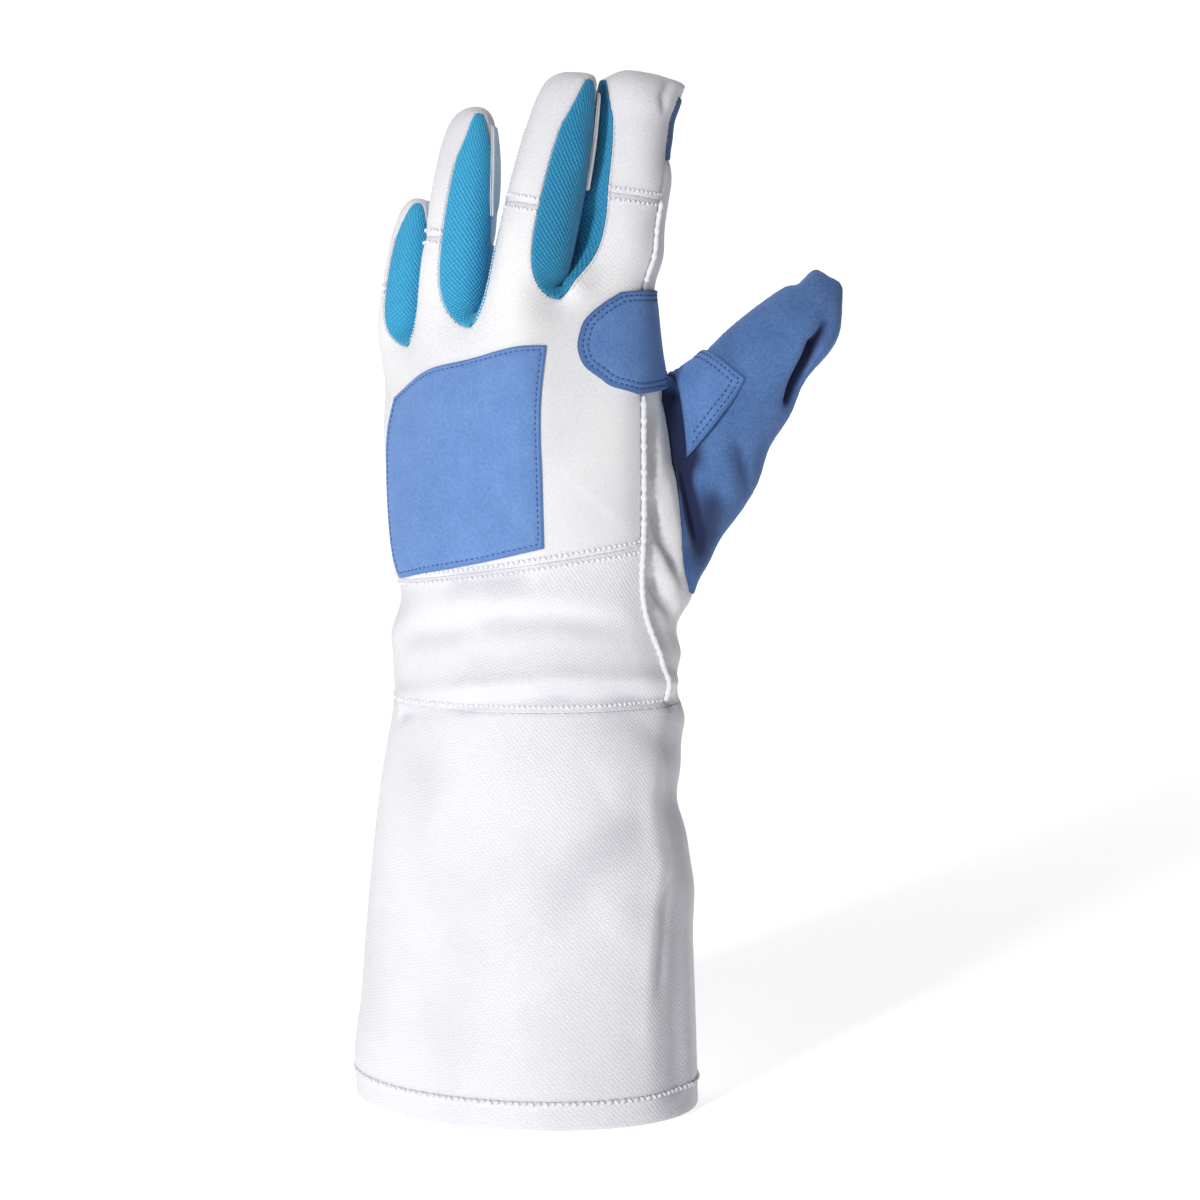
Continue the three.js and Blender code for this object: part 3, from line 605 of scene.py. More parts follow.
    def cap_thumb(self, end: list[int], tip: np.ndarray, slant: float) -> None:
        """Closes the thumb's tip with two strips of faces beside a middle seam.

        Args:
            end: The numbers of the last ring's points.
            tip: The middle of the tip.
            slant: The thumb's slant, in radians.
        """
        half = self.thumb_columns // 2
        down = vector(math.sin(slant), 0, -math.cos(slant))
        middle = [end[0]]
        for step in range(1, half - 2):
            spread = (2 * step / (half - 2) - 1) * self.thumb_tip[2] * self.thumb[0]
            middle.append(self.add(tip + down * spread))
        middle.append(end[half])
        for step in range(half - 2):
            seam = [(middle[step + k], 1, step + k) for k in (0, 1)]
            front = [(end[step + 1 + k], 2, step + k) for k in (0, 1)]
            behind = [(end[self.thumb_columns - 1 - step - k], 0, step + k) for k in (0, 1)]
            self.face("thumb_back", "thumb_cap", (seam[0], front[0], front[1], seam[1]))
            self.face("thumb_palm", "thumb_cap", (seam[1], behind[1], behind[0], seam[0]))

    def build(self) -> "Pattern":
        """Builds the whole net.

        Returns:
            The pattern itself.
        """
        ids, webs = self.sleeve()
        for i in range(len(FINGERS)):
            self.grow_finger(i, ids[self.knuckles], webs)
        self.grow_thumb(ids)
        return self


@dataclass(frozen=True)
class Sight:
    """The camera's place, its aim and its angle, in metres and degrees."""

    place: Vector = Vector((0.022, -1.2, 0.32))
    target: Vector = Vector((0.022, 0.0, 0.189))
    angle: float = 21.0

    def axes(self) -> tuple[Vector, Vector, Vector]:
        """Works out the camera's axes.

        Returns:
            Its directions ahead, to the right and up.
        """
        ahead = (self.target - self.place).normalized()
        right = ahead.cross(Vector((0, 0, 1))).normalized()
        return ahead, right, right.cross(ahead)

    def ray(self, x: float, y: float) -> Vector:
        """Looks through a point of the picture.

        Args:
            x: Its distance from the picture's left edge, in pixels.
            y: Its distance from the picture's upper edge.

        Returns:
            The direction from the camera.
        """
        ahead, right, up = self.axes()
        half, reach = PICTURE / 2, math.tan(math.radians(self.angle / 2))
        aside = right * (x - half) / half + up * (half - y) / half
        return (ahead + aside * reach).normalized()


@dataclass(frozen=True)
class Fold:
    """A fold of the skin along a path in the picture, or along places of a chart.

    Its width and depth are in millimetres. A ridge has a depth below 0. A fold fades out at both
    ends, unless it is open. Its shade is how much of its depth is painted as shade into the
    cloth's colour.
    """

    path: tuple[Place, ...]
    width: float
    depth: float
    chart: str = ""
    is_open: bool = False
    shade: float = 1.0


@dataclass(frozen=True)
class Trade:
    """A region of a chart that passes from one panel to its neighbour.

    With rounded, only the region's upper corners pass, outside an oval.
    """

    chart: str
    source: str
    target: str
    columns: Place
    rows: Place
    rounded: bool = False


@dataclass(frozen=True)
class Nudge:
    """A shift of the skin across the picture, strongest at one spot of it, in pixels."""

    spot: Place
    shift: Place
    radius: float


NUDGES = (
    # the upper ends of the gussets
    Nudge((588, 92), (3, -12), 15),
    Nudge((479, 126), (0, -11), 14),
    Nudge((416, 214), (2, -9), 13),
    # index tip
    Nudge((682, 76), (14, 1), 13),
    Nudge((686, 122), (-8, 0), 20),
    Nudge((680, 152), (-5, 0), 20),
    Nudge((658, 258), (4, 0), 22),
    # thumb
    Nudge((797, 279), (0, 4), 8),
    Nudge((816, 275), (0, -10), 12),
    Nudge((843, 288), (6, -8), 16),
    Nudge((812, 384), (-6, -2), 30),
    Nudge((778, 450), (-7, -2), 30),
    Nudge((704, 566), (7, 4), 24),
    Nudge((684, 596), (13, 4), 22),
    # wrist and cuff
    Nudge((378, 385), (7, 0), 34),
    Nudge((392, 592), (7, 0), 22),
    Nudge((394, 632), (-5, 0), 18),
    Nudge((676, 652), (4, 0), 16),
    Nudge((677, 716), (7, 0), 20),
    Nudge((686, 797), (-8, 0), 26),
    Nudge((693, 888), (4, 0), 30),
    Nudge((358, 1045), (-4, 0), 34),
)
# Each fold presses the skin, and its depth times its shade is painted as shade into the cloth's colour; a
# shade above 1 paints more shade than the fold's depth gives.
FOLDS = (
    # cuff
    # painted shade: this fold darkens a band down the cuff's right side
    Fold(
        ((674, 715), (672, 790), (683, 865), (680, 950), (679, 1020), (681, 1085)),
        6,
        1.2,
        is_open=True,
        shade=2,
    ),
    Fold(((668, 870), (664, 905), (660, 950), (658, 1000)), 3.5, 1.5),
    # painted shade: a broad band of shade on the cuff's lower right side
    Fold(((676, 915), (676, 960), (677, 1020), (678, 1085)), 13, 1.0, is_open=True, shade=3),
    Fold(((655, 740), (650, 800), (660, 870), (650, 950), (646, 1010), (650, 1080)), 4.5, -1.1),
    Fold(((650, 905), (638, 960), (622, 1040)), 12, -1.2),
    Fold(((690, 770), (668, 800), (650, 818), (610, 850), (540, 920)), 13, 1.7),
    Fold(((655, 735), (640, 765), (600, 790)), 12, -1.2),
    Fold(((668, 850), (645, 880), (600, 930)), 12, -1.0),
    Fold(((600, 705), (640, 722), (676, 760)), 9, 1.2),
    Fold(((430, 735), (420, 800), (400, 860)), 14, 0.9),
    Fold(((470, 900), (455, 980), (440, 1060)), 22, 0.9),
    # wrist
    Fold(((398, 594), (437, 584), (480, 578), (540, 580)), 5, 1.9),
    Fold(((470, 622), (557, 620), (632, 630)), 5, 1.7),
    Fold(((398, 640), (440, 634), (480, 630)), 5, 1.4),
    Fold(((400, 615), (470, 600), (560, 600), (630, 604)), 6, -1.1),
    Fold(((405, 668), (480, 660), (560, 652), (640, 654)), 5, 0.9),
    Fold(((402, 696), (473, 687), (560, 679), (640, 680), (672, 682)), 3.8, -2.2, is_open=True),
    Fold(((402, 716), (473, 707), (560, 699), (640, 700), (674, 702)), 2.2, 1.6, is_open=True),
    # side
    Fold(((652, 495), (660, 535), (678, 575)), 2.6, 3.0),
    Fold(((648, 572), (660, 598), (674, 616)), 2.6, 2.8),
    Fold(((664, 470), (674, 520), (681, 548)), 3.6, -1.4),
    Fold(((656, 545), (668, 572), (677, 596)), 3.2, -1.5),
    Fold(((664, 622), (676, 626)), 3.4, 2.2),
    Fold(((653, 400), (651, 440), (654, 480)), 3, 1.6),
    # thumb
    # painted shade on the thumb's lower part
    Fold(((716, 478), (708, 535), (692, 580)), 9, 0.6, shade=3),
    Fold(((829, 316), (814, 343), (801, 372), (790, 400)), 2.8, 3.6),
    Fold(((812, 345), (801, 370), (789, 400)), 2.6, 2.6, is_open=True),
    Fold(((836, 338), (824, 362), (810, 388)), 2.0, -1.4),
    Fold(((822, 318), (806, 340), (797, 366)), 3.4, -1.0),
    Fold(((734, 434), (741, 465), (748, 500)), 3.2, 1.5),
    Fold(((724, 440), (728, 470), (732, 505)), 4, -1.0),
    Fold(((684, 455), (687, 485), (694, 520), (702, 550), (708, 568)), 2.3, 4.0),
    Fold(((790, 300), (780, 340), (770, 380)), 12, -1.0),
    Fold(((775, 455), (745, 505), (716, 560)), 9, 1.0, is_open=True),
    # painted shadow in the crotch between the index finger and the thumb, near black on the suede
    Fold(((682, 362), (673, 372), (674, 400), (680, 435), (684, 455)), 6.0, 3.6, is_open=True),
    # fingers
    Fold(((669, 80), (663, 95), (664, 114)), 1.8, 1.3),
    # painted shade on the palm's sliver beside the index tip
    Fold(((1.45, 2.75), (1.5, 3.3), (1.45, 3.85)), 3.5, 1.6, chart="index", is_open=True),
    Fold(((612, 122), (640, 118), (664, 122)), 4, 0.6),
    Fold(((590, 160), (586, 210), (582, 245), (577, 275), (574, 284)), 6, -3.4, is_open=True),
    # unseen sides
    Fold(((12.5, 7.0), (14, 6.9), (15.5, 7.1)), 6, 1.8, chart="sleeve", shade=0.2),
    Fold(((11.5, 7.6), (13, 7.7), (14.5, 7.6)), 6, -1.2, chart="sleeve", shade=0.2),
    Fold(((13.0, 9.2), (14.4, 9.7), (15.6, 10.4)), 9, 2.6, chart="sleeve", shade=0.2),
    Fold(((12.0, 11.0), (14, 10.8), (16, 10.9)), 6, 1.6, chart="sleeve", shade=0.2),
    Fold(((12.5, 3.0), (13.5, 3.6), (14.2, 4.3)), 14, 1.8, chart="sleeve", shade=0.2),
    Fold(((10.2, 2.0), (10.8, 3.0)), 12, -1.2, chart="sleeve", shade=0.2),
    Fold(((6.0, 2.0), (7.5, 2.2)), 4, 1.4, chart="thumb", shade=0.2),
    *(Fold(((3.5, 1.5), (4.5, 1.45)), 3, 1.4, chart=name, shade=0.2) for name in FINGER_NAMES[:-1]),
    Fold(((3.5, 1.5), (4.5, 1.45)), 3, 1.2, chart="little", shade=0.2),
)
TRADES = (
    *(
        Trade(name, f"gusset_{first}_{second}", f"{name}_tip_panel", columns, (3, 4), True)
        for first, second in zip(FINGER_NAMES, FINGER_NAMES[1:])
        for name, columns in ((first, (5, 7)), (second, (1, 3)))
    ),
    Trade("ring", "palm_panel", "ring_tip_panel", (3, 4), (2, 4)),
    Trade("ring", "palm_panel", "gusset_middle_ring", (3, 4), (0, 2)),
    Trade("index_cap", "palm_panel", "index_tip_panel", (4, 6), (3, 6)),
    Trade("index", "side_panel", "palm_panel", (1.1875, 3), (2.6875, 3.875)),
)
FADE_SHARE = 0.3
FADE_LEAST = 0.15
FLAT_SINK = 0.3
FLAT_SEAMS = (
    {"cuff", "wrist_panel"},
    {"cuff", "side_panel"},
    {"wrist_panel", "back_panel"},
    {"wrist_panel", "palm_panel"},
)


@dataclass(frozen=True)
class Cut:
    """How a panel is cut: its wall, and how its edge sinks and how wide it rolls, in millimetres."""

    wall: float
    drop: float
    roll: float
    swell: float
    gap: float = 0.1

    def sunk(self, distance: np.ndarray, softness: np.ndarray) -> np.ndarray:
        """Rolls the skin down towards the panel's edge.

        Args:
            distance: Distances to the edge.
            softness: How much of the full depth the nearest seam sinks.

        Returns:
            How far the skin sinks.
        """
        inside = 1 - np.clip(distance / self.roll, 0, 1)
        rolled = 1 - np.sqrt(np.clip(1 - inside**2, 0, 1))
        swollen = np.exp(-((distance / SWELL_REACH) ** 2)) - 0.5
        return softness * (self.drop * rolled + self.swell * swollen)


class Skin:
    """The smooth skin that all panels are cut from, with its charts and its folds."""

    def __init__(self, pattern: Pattern, sight: Sight) -> None:
        """Smooths the net and folds it.

        Args:
            pattern: The net.
            sight: The camera, through which folds are placed.
        """
        self.pattern = pattern
        self.sight = sight
        self.panels = list(dict.fromkeys(face.panel for face in pattern.faces))
        self.chart_names = list(dict.fromkeys(face.chart for face in pattern.faces))
        self.smooth()
        self.normals = self.point_normals()
        self.lay_charts()
        self.trade(TRADES)
        self.shift(NUDGES)
        self.normals = self.point_normals()
        self.press(FOLDS)
        self.normals = self.point_normals()

    def smooth(self) -> None:
        """Subdivides the net and reads its points, faces, places, panels and charts."""
        mesh = bpy.data.meshes.new("net")
        faces = self.pattern.faces
        mesh.from_pydata([tuple(p) for p in self.pattern.points], [], [face.ids for face in faces])
        places = mesh.uv_layers.new(name="place")
        places.data.foreach_set("uv", np.array([face.places for face in faces], np.float32).ravel())
        codes = mesh.attributes.new("code", "INT", "FACE")
        code = [self.panels.index(f.panel) + 100 * self.chart_names.index(f.chart) for f in faces]
        codes.data.foreach_set("value", code)
        holder = link("net", mesh)
        rounder = holder.modifiers.new("round", "SUBSURF")
        rounder.levels = rounder.render_levels = LEVELS
        rounder.uv_smooth = "NONE"
        graph = bpy.context.evaluated_depsgraph_get()
        fine = bpy.data.meshes.new_from_object(holder.evaluated_get(graph))
        count = len(fine.polygons)
        self.points = self.read(fine.vertices, "co", (-1, 3))
        self.quads = self.read(fine.loops, "vertex_index", (count, 4), np.int32).astype(np.int64)
        self.places = self.read(fine.uv_layers["place"].data, "uv", (count, 4, 2))
        code = self.read(fine.attributes["code"].data, "value", (count,), np.int32)
        self.panel_of, self.chart_of = code % 100, code // 100
        bpy.data.objects.remove(holder)
        bpy.data.meshes.remove(fine)
        bpy.data.meshes.remove(mesh)

    @staticmethod
    def read(
        data: bpy.types.bpy_prop_collection, name: str, shape: tuple, kind: type = np.float32
    ) -> np.ndarray:
        """Reads a property of a collection.

        Args:
            data: The collection.
            name: The property.
            shape: The wanted shape.
            kind: The numbers' type in the collection.

        Returns:
            Its values in that shape.
        """
        width = {"co": 3, "uv": 2}.get(name, 1)
        values = np.empty(len(data) * width, kind)
        data.foreach_get(name, values)
        return values.reshape(shape).astype(float if kind is np.float32 else kind)

    def trade(self, trades: Sequence[Trade]) -> None:
        """Gives regions of panels to their neighbours, and smooths the new seams.

        Args:
            trades: The regions.
        """
        touched = np.zeros(len(self.points), bool)
        u, v = self.places.mean(axis=1).T
        for trade in trades:
            (left, right), (low, high) = trade.columns, trade.rows
            chosen = self.chart_of == self.chart_names.index(trade.chart)
            chosen &= self.panel_of == self.panels.index(trade.source)
            chosen &= (u > left) & (u < right) & (v > low) & (v < high)
            if trade.rounded:
                aside = (2 * u - left - right) / (right - left)
                chosen &= aside**2 + ((v - low) / (high - low)) ** 2 > 1
            self.panel_of[chosen] = self.panels.index(trade.target)
            touched[self.quads[chosen]] = True
        starts, ends, owner, beyond = self.edges()
        seam = (beyond > owner) & touched[starts] & touched[ends]
        a, b = starts[seam], ends[seam]
        beside = np.bincount(np.concatenate([a, b]), minlength=len(self.points))
        for _ in range(8):
            total = np.zeros_like(self.points)
            np.add.at(total, a, self.points[b])
            np.add.at(total, b, self.points[a])
            inner = beside == 2
            self.points[inner] += (total[inner] / 2 - self.points[inner]) * 0.5

    def edges(self) -> tuple[np.ndarray, np.ndarray, np.ndarray, np.ndarray]:
        """Finds the edges of all faces.

        Returns:
            Their first and second points, their own panels, and the panels beyond them, or -1
            where the skin ends.
        """
        starts, ends = self.quads.ravel(), np.roll(self.quads, -1, axis=1).ravel()
        owner = np.repeat(self.panel_of, 4)
        count = len(self.points)
        keys, back = starts * count + ends, ends * count + starts
        order = np.argsort(keys)
        found = np.clip(np.searchsorted(keys[order], back), 0, len(keys) - 1)
        return starts, ends, owner, np.where(keys[order][found] == back, owner[order][found], -1)

    def point_normals(self) -> np.ndarray:
        """Averages the directions of the faces at every point.

        Returns:
            The outward directions.
        """
        a, b, c, d = (self.points[self.quads[:, k]] for k in range(4))
        across = np.cross(c - a, d - b)
        normals = np.zeros_like(self.points)
        for k in range(4):
            np.add.at(normals, self.quads[:, k], across)
        return unit(normals)

    def lay_charts(self) -> None:
        """Makes a grid of points for each chart, and the flat cloth's measure of its places."""
        self.grids: dict[str, np.ndarray] = {}
        self.cloth = self.places.copy()
        pattern = self.pattern
        sizes = {
            "sleeve": (pattern.sleeve_columns, pattern.knuckles),
            "thumb": (pattern.thumb_columns, len(THUMB_ROWS)),
        }
        for index, name in enumerate(self.chart_names):
            faces = self.chart_of == index
            if name.endswith("_cap"):
                self.cloth[faces] *= CAP_CELL
                continue
            columns, rows = sizes.get(name, (pattern.finger_columns, len(FINGER_ROWS)))
            grid = np.full((columns * STEPS, rows * STEPS + 1), -1)
            cells = np.rint(self.places[faces] * STEPS).astype(int).reshape(-1, 2)
            grid[cells[:, 0] % (columns * STEPS), cells[:, 1]] = self.quads[faces].ravel()
            self.grids[name] = grid
            spots = np.where(grid[..., None] < 0, np.nan, self.points[grid])
            rise = np.nanmean(np.linalg.norm(np.diff(spots, axis=1), axis=-1), axis=0)
            around = np.nanmean(np.linalg.norm(np.diff(spots, axis=0), axis=-1)) * STEPS
            heights = np.concatenate([[0], np.cumsum(rise)])
            self.cloth[faces, :, 0] = self.places[faces][..., 0] * around
            at_rows = np.arange(rows * STEPS + 1) / STEPS
            self.cloth[faces, :, 1] = np.interp(self.places[faces][..., 1], at_rows, heights)

    def at(self, chart: str, u: np.ndarray, v: np.ndarray, lift: float = 0) -> tuple[np.ndarray, np.ndarray]:
        """Looks places of a chart up on the skin.

        Args:
            chart: The chart's name.
            u: Columns.
            v: Rows.
            lift: How far above the skin.

        Returns:
            The positions and the outward directions there.
        """
        grid = self.grids[chart]
        a, b = np.asarray(u, float) * STEPS, np.asarray(v, float) * STEPS
        a0, b0 = np.floor(a + 1e-6), np.floor(b + 1e-6)
        fa, fb = (a - a0)[..., None], (b - b0)[..., None]
        left, low = a0.astype(int) % grid.shape[0], np.clip(b0.astype(int), 0, grid.shape[1] - 1)
        right, high = (left + 1) % grid.shape[0], np.minimum(low + 1, grid.shape[1] - 1)

        def blend(values: np.ndarray) -> np.ndarray:
            """Works values out between the four points around each place.

            Args:
                values: The values at the skin's points.

            Returns:
                The values at the places.
            """
            bottom = values[grid[left, low]] * (1 - fa) + values[grid[right, low]] * fa
            top = values[grid[left, high]] * (1 - fa) + values[grid[right, high]] * fa
            return bottom * (1 - fb) + top * fb

        normals = unit(blend(self.normals))
        return blend(self.points) + normals * lift, normals

    def shift(self, nudges: Sequence[Nudge]) -> None:
        """Shifts the skin across the picture.

        Args:
            nudges: The shifts.
        """
        ahead, right, up = (np.array(axis) for axis in self.sight.axes())
        from_lens = self.points * MM - np.array(self.sight.place)
        distance = from_lens @ ahead
        scale = PICTURE / 2 / math.tan(math.radians(self.sight.angle / 2)) / distance
        across = PICTURE / 2 + scale * (from_lens @ right)
        down = PICTURE / 2 - scale * (from_lens @ up)
        for nudge in nudges:
            away = np.hypot(across - nudge.spot[0], down - nudge.spot[1]) / nudge.radius
            share = (np.exp(-(away**2)) / scale / MM)[:, None]
            self.points += share * (right * nudge.shift[0] - up * nudge.shift[1])

    def press(self, folds: Sequence[Fold]) -> None:
        """Folds the skin, and keeps at each point the painted shade of its folds: their depth times their
        shade.

        Args:
            folds: The folds.
        """
        tree = BVHTree.FromPolygons((self.points * MM).tolist(), self.quads.tolist())
        depth, self.crease = np.zeros(len(self.points)), np.zeros(len(self.points))
        for fold in folds:
            if fold.chart:
                path, facing = self.at(fold.chart, *np.array(fold.path).T)
            else:
                hits = [tree.ray_cast(self.sight.place, self.sight.ray(*spot)) for spot in fold.path]
                hits = [hit for hit in hits if hit[0] is not None]
                if len(hits) < 2:
                    LOG.warning("a fold at %s misses the skin", fold.path[0])
                    continue
                path = np.array([hit[0] for hit in hits]) / MM
                facing = np.array([hit[1] for hit in hits])
            away, passed, length = self.beside(path)
            away /= fold.width
            ends = np.minimum(passed, length - passed) / (FADE_SHARE * length)
            rising = np.sin(np.clip(ends, 0, 1) * math.pi / 2)
            fade = 1.0 if fold.is_open else mix(FADE_LEAST, 1, rising)
            side = np.clip(self.normals @ unit(facing.mean(0)) * 2 + 0.4, 0, 1)
            pressed = fold.depth * np.exp(-(away**2)) * side * fade
            depth += pressed
            # painted shade: each fold's depth times its shade is kept to darken the cloth's colour
            self.crease += pressed * fold.shade
        self.points -= self.normals * depth[:, None]

    def beside(self, path: np.ndarray) -> tuple[np.ndarray, np.ndarray, float]:
        """Measures all points of the skin against a path.

        Args:
            path: The path's points.

        Returns:
            Their distances to it, how far along it they lie, and its length.
        """
        away, passed = np.full(len(self.points), 1e9), np.zeros(len(self.points))
        stops = travelled(path)
        for k, (start, end) in enumerate(zip(path[:-1], path[1:])):
            along = end - start
            share = np.clip((self.points - start) @ along / along.dot(along), 0, 1)
            distance = np.linalg.norm(self.points - start - share[:, None] * along, axis=1)
            nearer = distance < away
            away[nearer] = distance[nearer]
            passed[nearer] = mix(stops[k], stops[k + 1], share[nearer])
        return away, passed, stops[-1]

    def border(self, panel: int) -> tuple[np.ndarray, np.ndarray, np.ndarray]:
        """Finds a panel's border.

        Args:
            panel: The panel's number.

        Returns:
            Its faces, its border's edges, and how much of the full depth each edge's seam sinks.
        """
        starts, ends, owner, beyond = self.edges()
        outer = (owner == panel) & (beyond != panel)
        flat = [{self.panels[panel], name} in FLAT_SEAMS for name in ("", *self.panels)]
        sink = np.where(np.array(flat)[beyond[outer] + 1], FLAT_SINK, 1.0)
        return self.quads[self.panel_of == panel], np.stack([starts[outer], ends[outer]], axis=1), sink

    def cut(self, name: str, cut: Cut) -> bpy.types.Object:
        """Cuts a panel, rolls its edges in and gives it a wall.

        Args:
            name: The panel's name.
            cut: Its sizes.

        Returns:
            The panel's object, with its flat measure as the UV map cloth and the distance to its
            edge as the attribute edge, in millimetres.
        """
        index = self.panels.index(name)
        quads, edges, sink = self.border(index)
        used, local = np.unique(quads, return_inverse=True)
        local = local.reshape(-1, 4)
        edges = np.searchsorted(used, edges)
        base, normals, count = self.points[used], self.normals[used], len(used)
        loops = self.cloth[self.panel_of == index]
        place = np.zeros((count, 2))
        place[local.ravel()] = loops.reshape(-1, 2)
        rim, pull = self.inward(base, normals, edges)
        sinks = np.ones(count)
        sinks[edges[:, 0]] = sink
        sinks[edges[:, 1]] = np.minimum(sinks[edges[:, 1]], sink)
        closest, away = nearest(base, base[rim])
        ripple = np.sin(place[:, 0] * 1.7 + place[:, 1] * 0.4) * np.sin(place[:, 1] * 1.9 + 1)
        ripple *= RIPPLE * np.exp(-((away / RIPPLE_REACH) ** 2))
        outer = base - normals * (cut.sunk(away, sinks[rim[closest]]) + ripple)[:, None]
        inner = outer - normals * cut.wall
        reach = np.minimum(0.45 * self.shortest_sides(base, local)[rim], 0.8)
        steps = [cut.gap / 2 + share * reach for share in EDGE_SHARES]
        rings = []
        for inwards in steps:
            down = cut.sunk(inwards, sinks[rim]) + ripple[rim]
            rings.append(base[rim] + pull * inwards[:, None] - normals[rim] * down[:, None])
        lowest = np.maximum(cut.wall, cut.sunk(steps[0], sinks[rim]) + 0.5)
        inner[rim] = base[rim] + pull * cut.gap / 2 - normals[rim] * lowest[:, None]
        outer[rim] = rings[-1]
        points = np.concatenate([outer, inner, *rings[:-1]])
        strips = self.edge_strips(edges, rim, count)
        faces = np.concatenate([local, local[:, ::-1] + count, *strips])
        lower_rings = len(rings) - 1
        spots = np.concatenate([place, place, *[place[rim]] * lower_rings])
        uv = np.concatenate([loops, loops[:, ::-1], *[spots[strip] for strip in strips]])
        # the painted crease shade of each point, which darkens the cloth in its folds; the inner side gets
        # none
        depth = self.crease[used]
        marks = {
            "edge": np.concatenate([away, np.full(count, EDGE_FAR), *steps[:-1]]),
            "crease": np.concatenate([depth, depth * 0, *[depth[rim]] * lower_rings]),
        }
        return make_object(name, points, faces.tolist(), uv, marks)

    @staticmethod
    def inward(
        base: np.ndarray, normals: np.ndarray, edges: np.ndarray
    ) -> tuple[np.ndarray, np.ndarray]:
        """Finds the way from a panel's border into the panel.

        Args:
            base: The panel's points.
            normals: Their outward directions.
            edges: The border's edges.

        Returns:
            The border's points, and the way in at each, which is longer where the border turns.
        """
        along = unit(base[edges[:, 1]] - base[edges[:, 0]])
        pull, first = np.zeros_like(base), np.zeros_like(base)
        bend = np.zeros(len(base))
        for end in (0, 1):
            towards = unit(np.cross(normals[edges[:, end]], along))
            bend[edges[:, end]] += np.einsum("ij,ij->i", first[edges[:, end]], towards)
            first[edges[:, end]] = towards
            pull[edges[:, end]] += towards
        rim = np.unique(edges)
        return rim, pull[rim] / np.maximum(1 + bend[rim], 0.5)[:, None]

    @staticmethod
    def shortest_sides(base: np.ndarray, faces: np.ndarray) -> np.ndarray:
        """Finds the shortest side of the faces at each point.

        Args:
            base: The points.
            faces: The faces.

        Returns:
            The sides' lengths.
        """
        following = np.roll(faces, -1, axis=1)
        lengths = np.linalg.norm(base[faces] - base[following], axis=-1).ravel()
        shortest = np.full(len(base), np.inf)
        np.minimum.at(shortest, faces.ravel(), lengths)
        np.minimum.at(shortest, following.ravel(), lengths)
        return shortest

    @staticmethod
    def edge_strips(edges: np.ndarray, rim: np.ndarray, count: int) -> list[np.ndarray]:
        """Joins a panel's outer side to its inner side, down its rolled edge.

        Args:
            edges: The border's edges.
            rim: The border's points.
            count: How many points each side has.

        Returns:
            The strips of faces.
        """
        number = np.zeros(count, int)
        number[rim] = np.arange(len(rim))
        a, b = edges[:, 0], edges[:, 1]
        strips, upper = [], (a, b)
        for ring in reversed(range(len(EDGE_SHARES) - 1)):
            lower = tuple(2 * count + ring * len(rim) + number[side] for side in (a, b))
            strips.append(np.stack([upper[1], upper[0], lower[0], lower[1]], axis=1))
            upper = lower
        strips.append(np.stack([upper[1], upper[0], a + count, b + count], axis=1))
        return strips


def make_object(
    name: str,
    points: np.ndarray,
    faces: list[list[int]],
    uv: np.ndarray | None = None,
    marks: dict[str, np.ndarray] | None = None,
) -> bpy.types.Object:
    """Makes an object from points in millimetres.

    Args:
        name: The object's name.
        points: The positions.
        faces: The faces, as numbers of points.
        uv: The flat measure of each face's corners, where its finish needs it.
        marks: Each point's distance to the piece's edge, and the painted shade of its folds.

    Returns:
        The object, smooth and linked to the scene.
    """
    mesh = bpy.data.meshes.new(name)
    mesh.from_pydata((points * MM).tolist(), [], faces)
    if uv is not None:
        layer = mesh.uv_layers.new(name="cloth")
        layer.data.foreach_set("uv", np.asarray(uv, np.float32).ravel())
    for mark, values in (marks or {}).items():
        attribute = mesh.attributes.new(mark, "FLOAT", "POINT")
        attribute.data.foreach_set("value", np.asarray(values, np.float32))
    mesh.polygons.foreach_set("use_smooth", np.ones(len(mesh.polygons), bool))
    mesh.update()
    return link(name, mesh)


class Sock:
    """A socket in shader maths: sums on it add Math nodes to its tree."""

    def __init__(self, shader: "Shader", socket: bpy.types.NodeSocket | None) -> None:
        """Keeps the socket and the shader it belongs to."""
        self.shader = shader
        self.socket = socket

    def _sum(self, operation: str, first: "Sock | float", second: "Sock | float") -> "Sock":
        """Returns the result of a Math node."""
        return self.shader.node("ShaderNodeMath", {"operation": operation}, {0: first, 1: second})

    def __add__(self, other: "Sock | float") -> "Sock":
        """Returns self + other."""
        return self._sum("ADD", self, other)

    __radd__ = __add__

    def __mul__(self, other: "Sock | float") -> "Sock":
        """Returns self * other."""
        return self._sum("MULTIPLY", self, other)

    __rmul__ = __mul__

    def __sub__(self, other: "Sock | float") -> "Sock":
        """Returns self - other."""
        return self._sum("SUBTRACT", self, other)

    def __rsub__(self, other: float) -> "Sock":
        """Returns other - self."""
        return self._sum("SUBTRACT", other, self)

    def sine(self) -> "Sock":
        """Returns the sine of self."""
        return self._sum("SINE", self, 0.0)

    def ramp(self, low: float, high: float) -> "Sock":
        """Returns 0 below low, 1 above high, and a smooth step between them."""
        inputs = {0: self, 1: low, 2: high, 3: 0.0, 4: 1.0}
        return self.shader.node("ShaderNodeMapRange", {"interpolation_type": "SMOOTHSTEP"}, inputs)


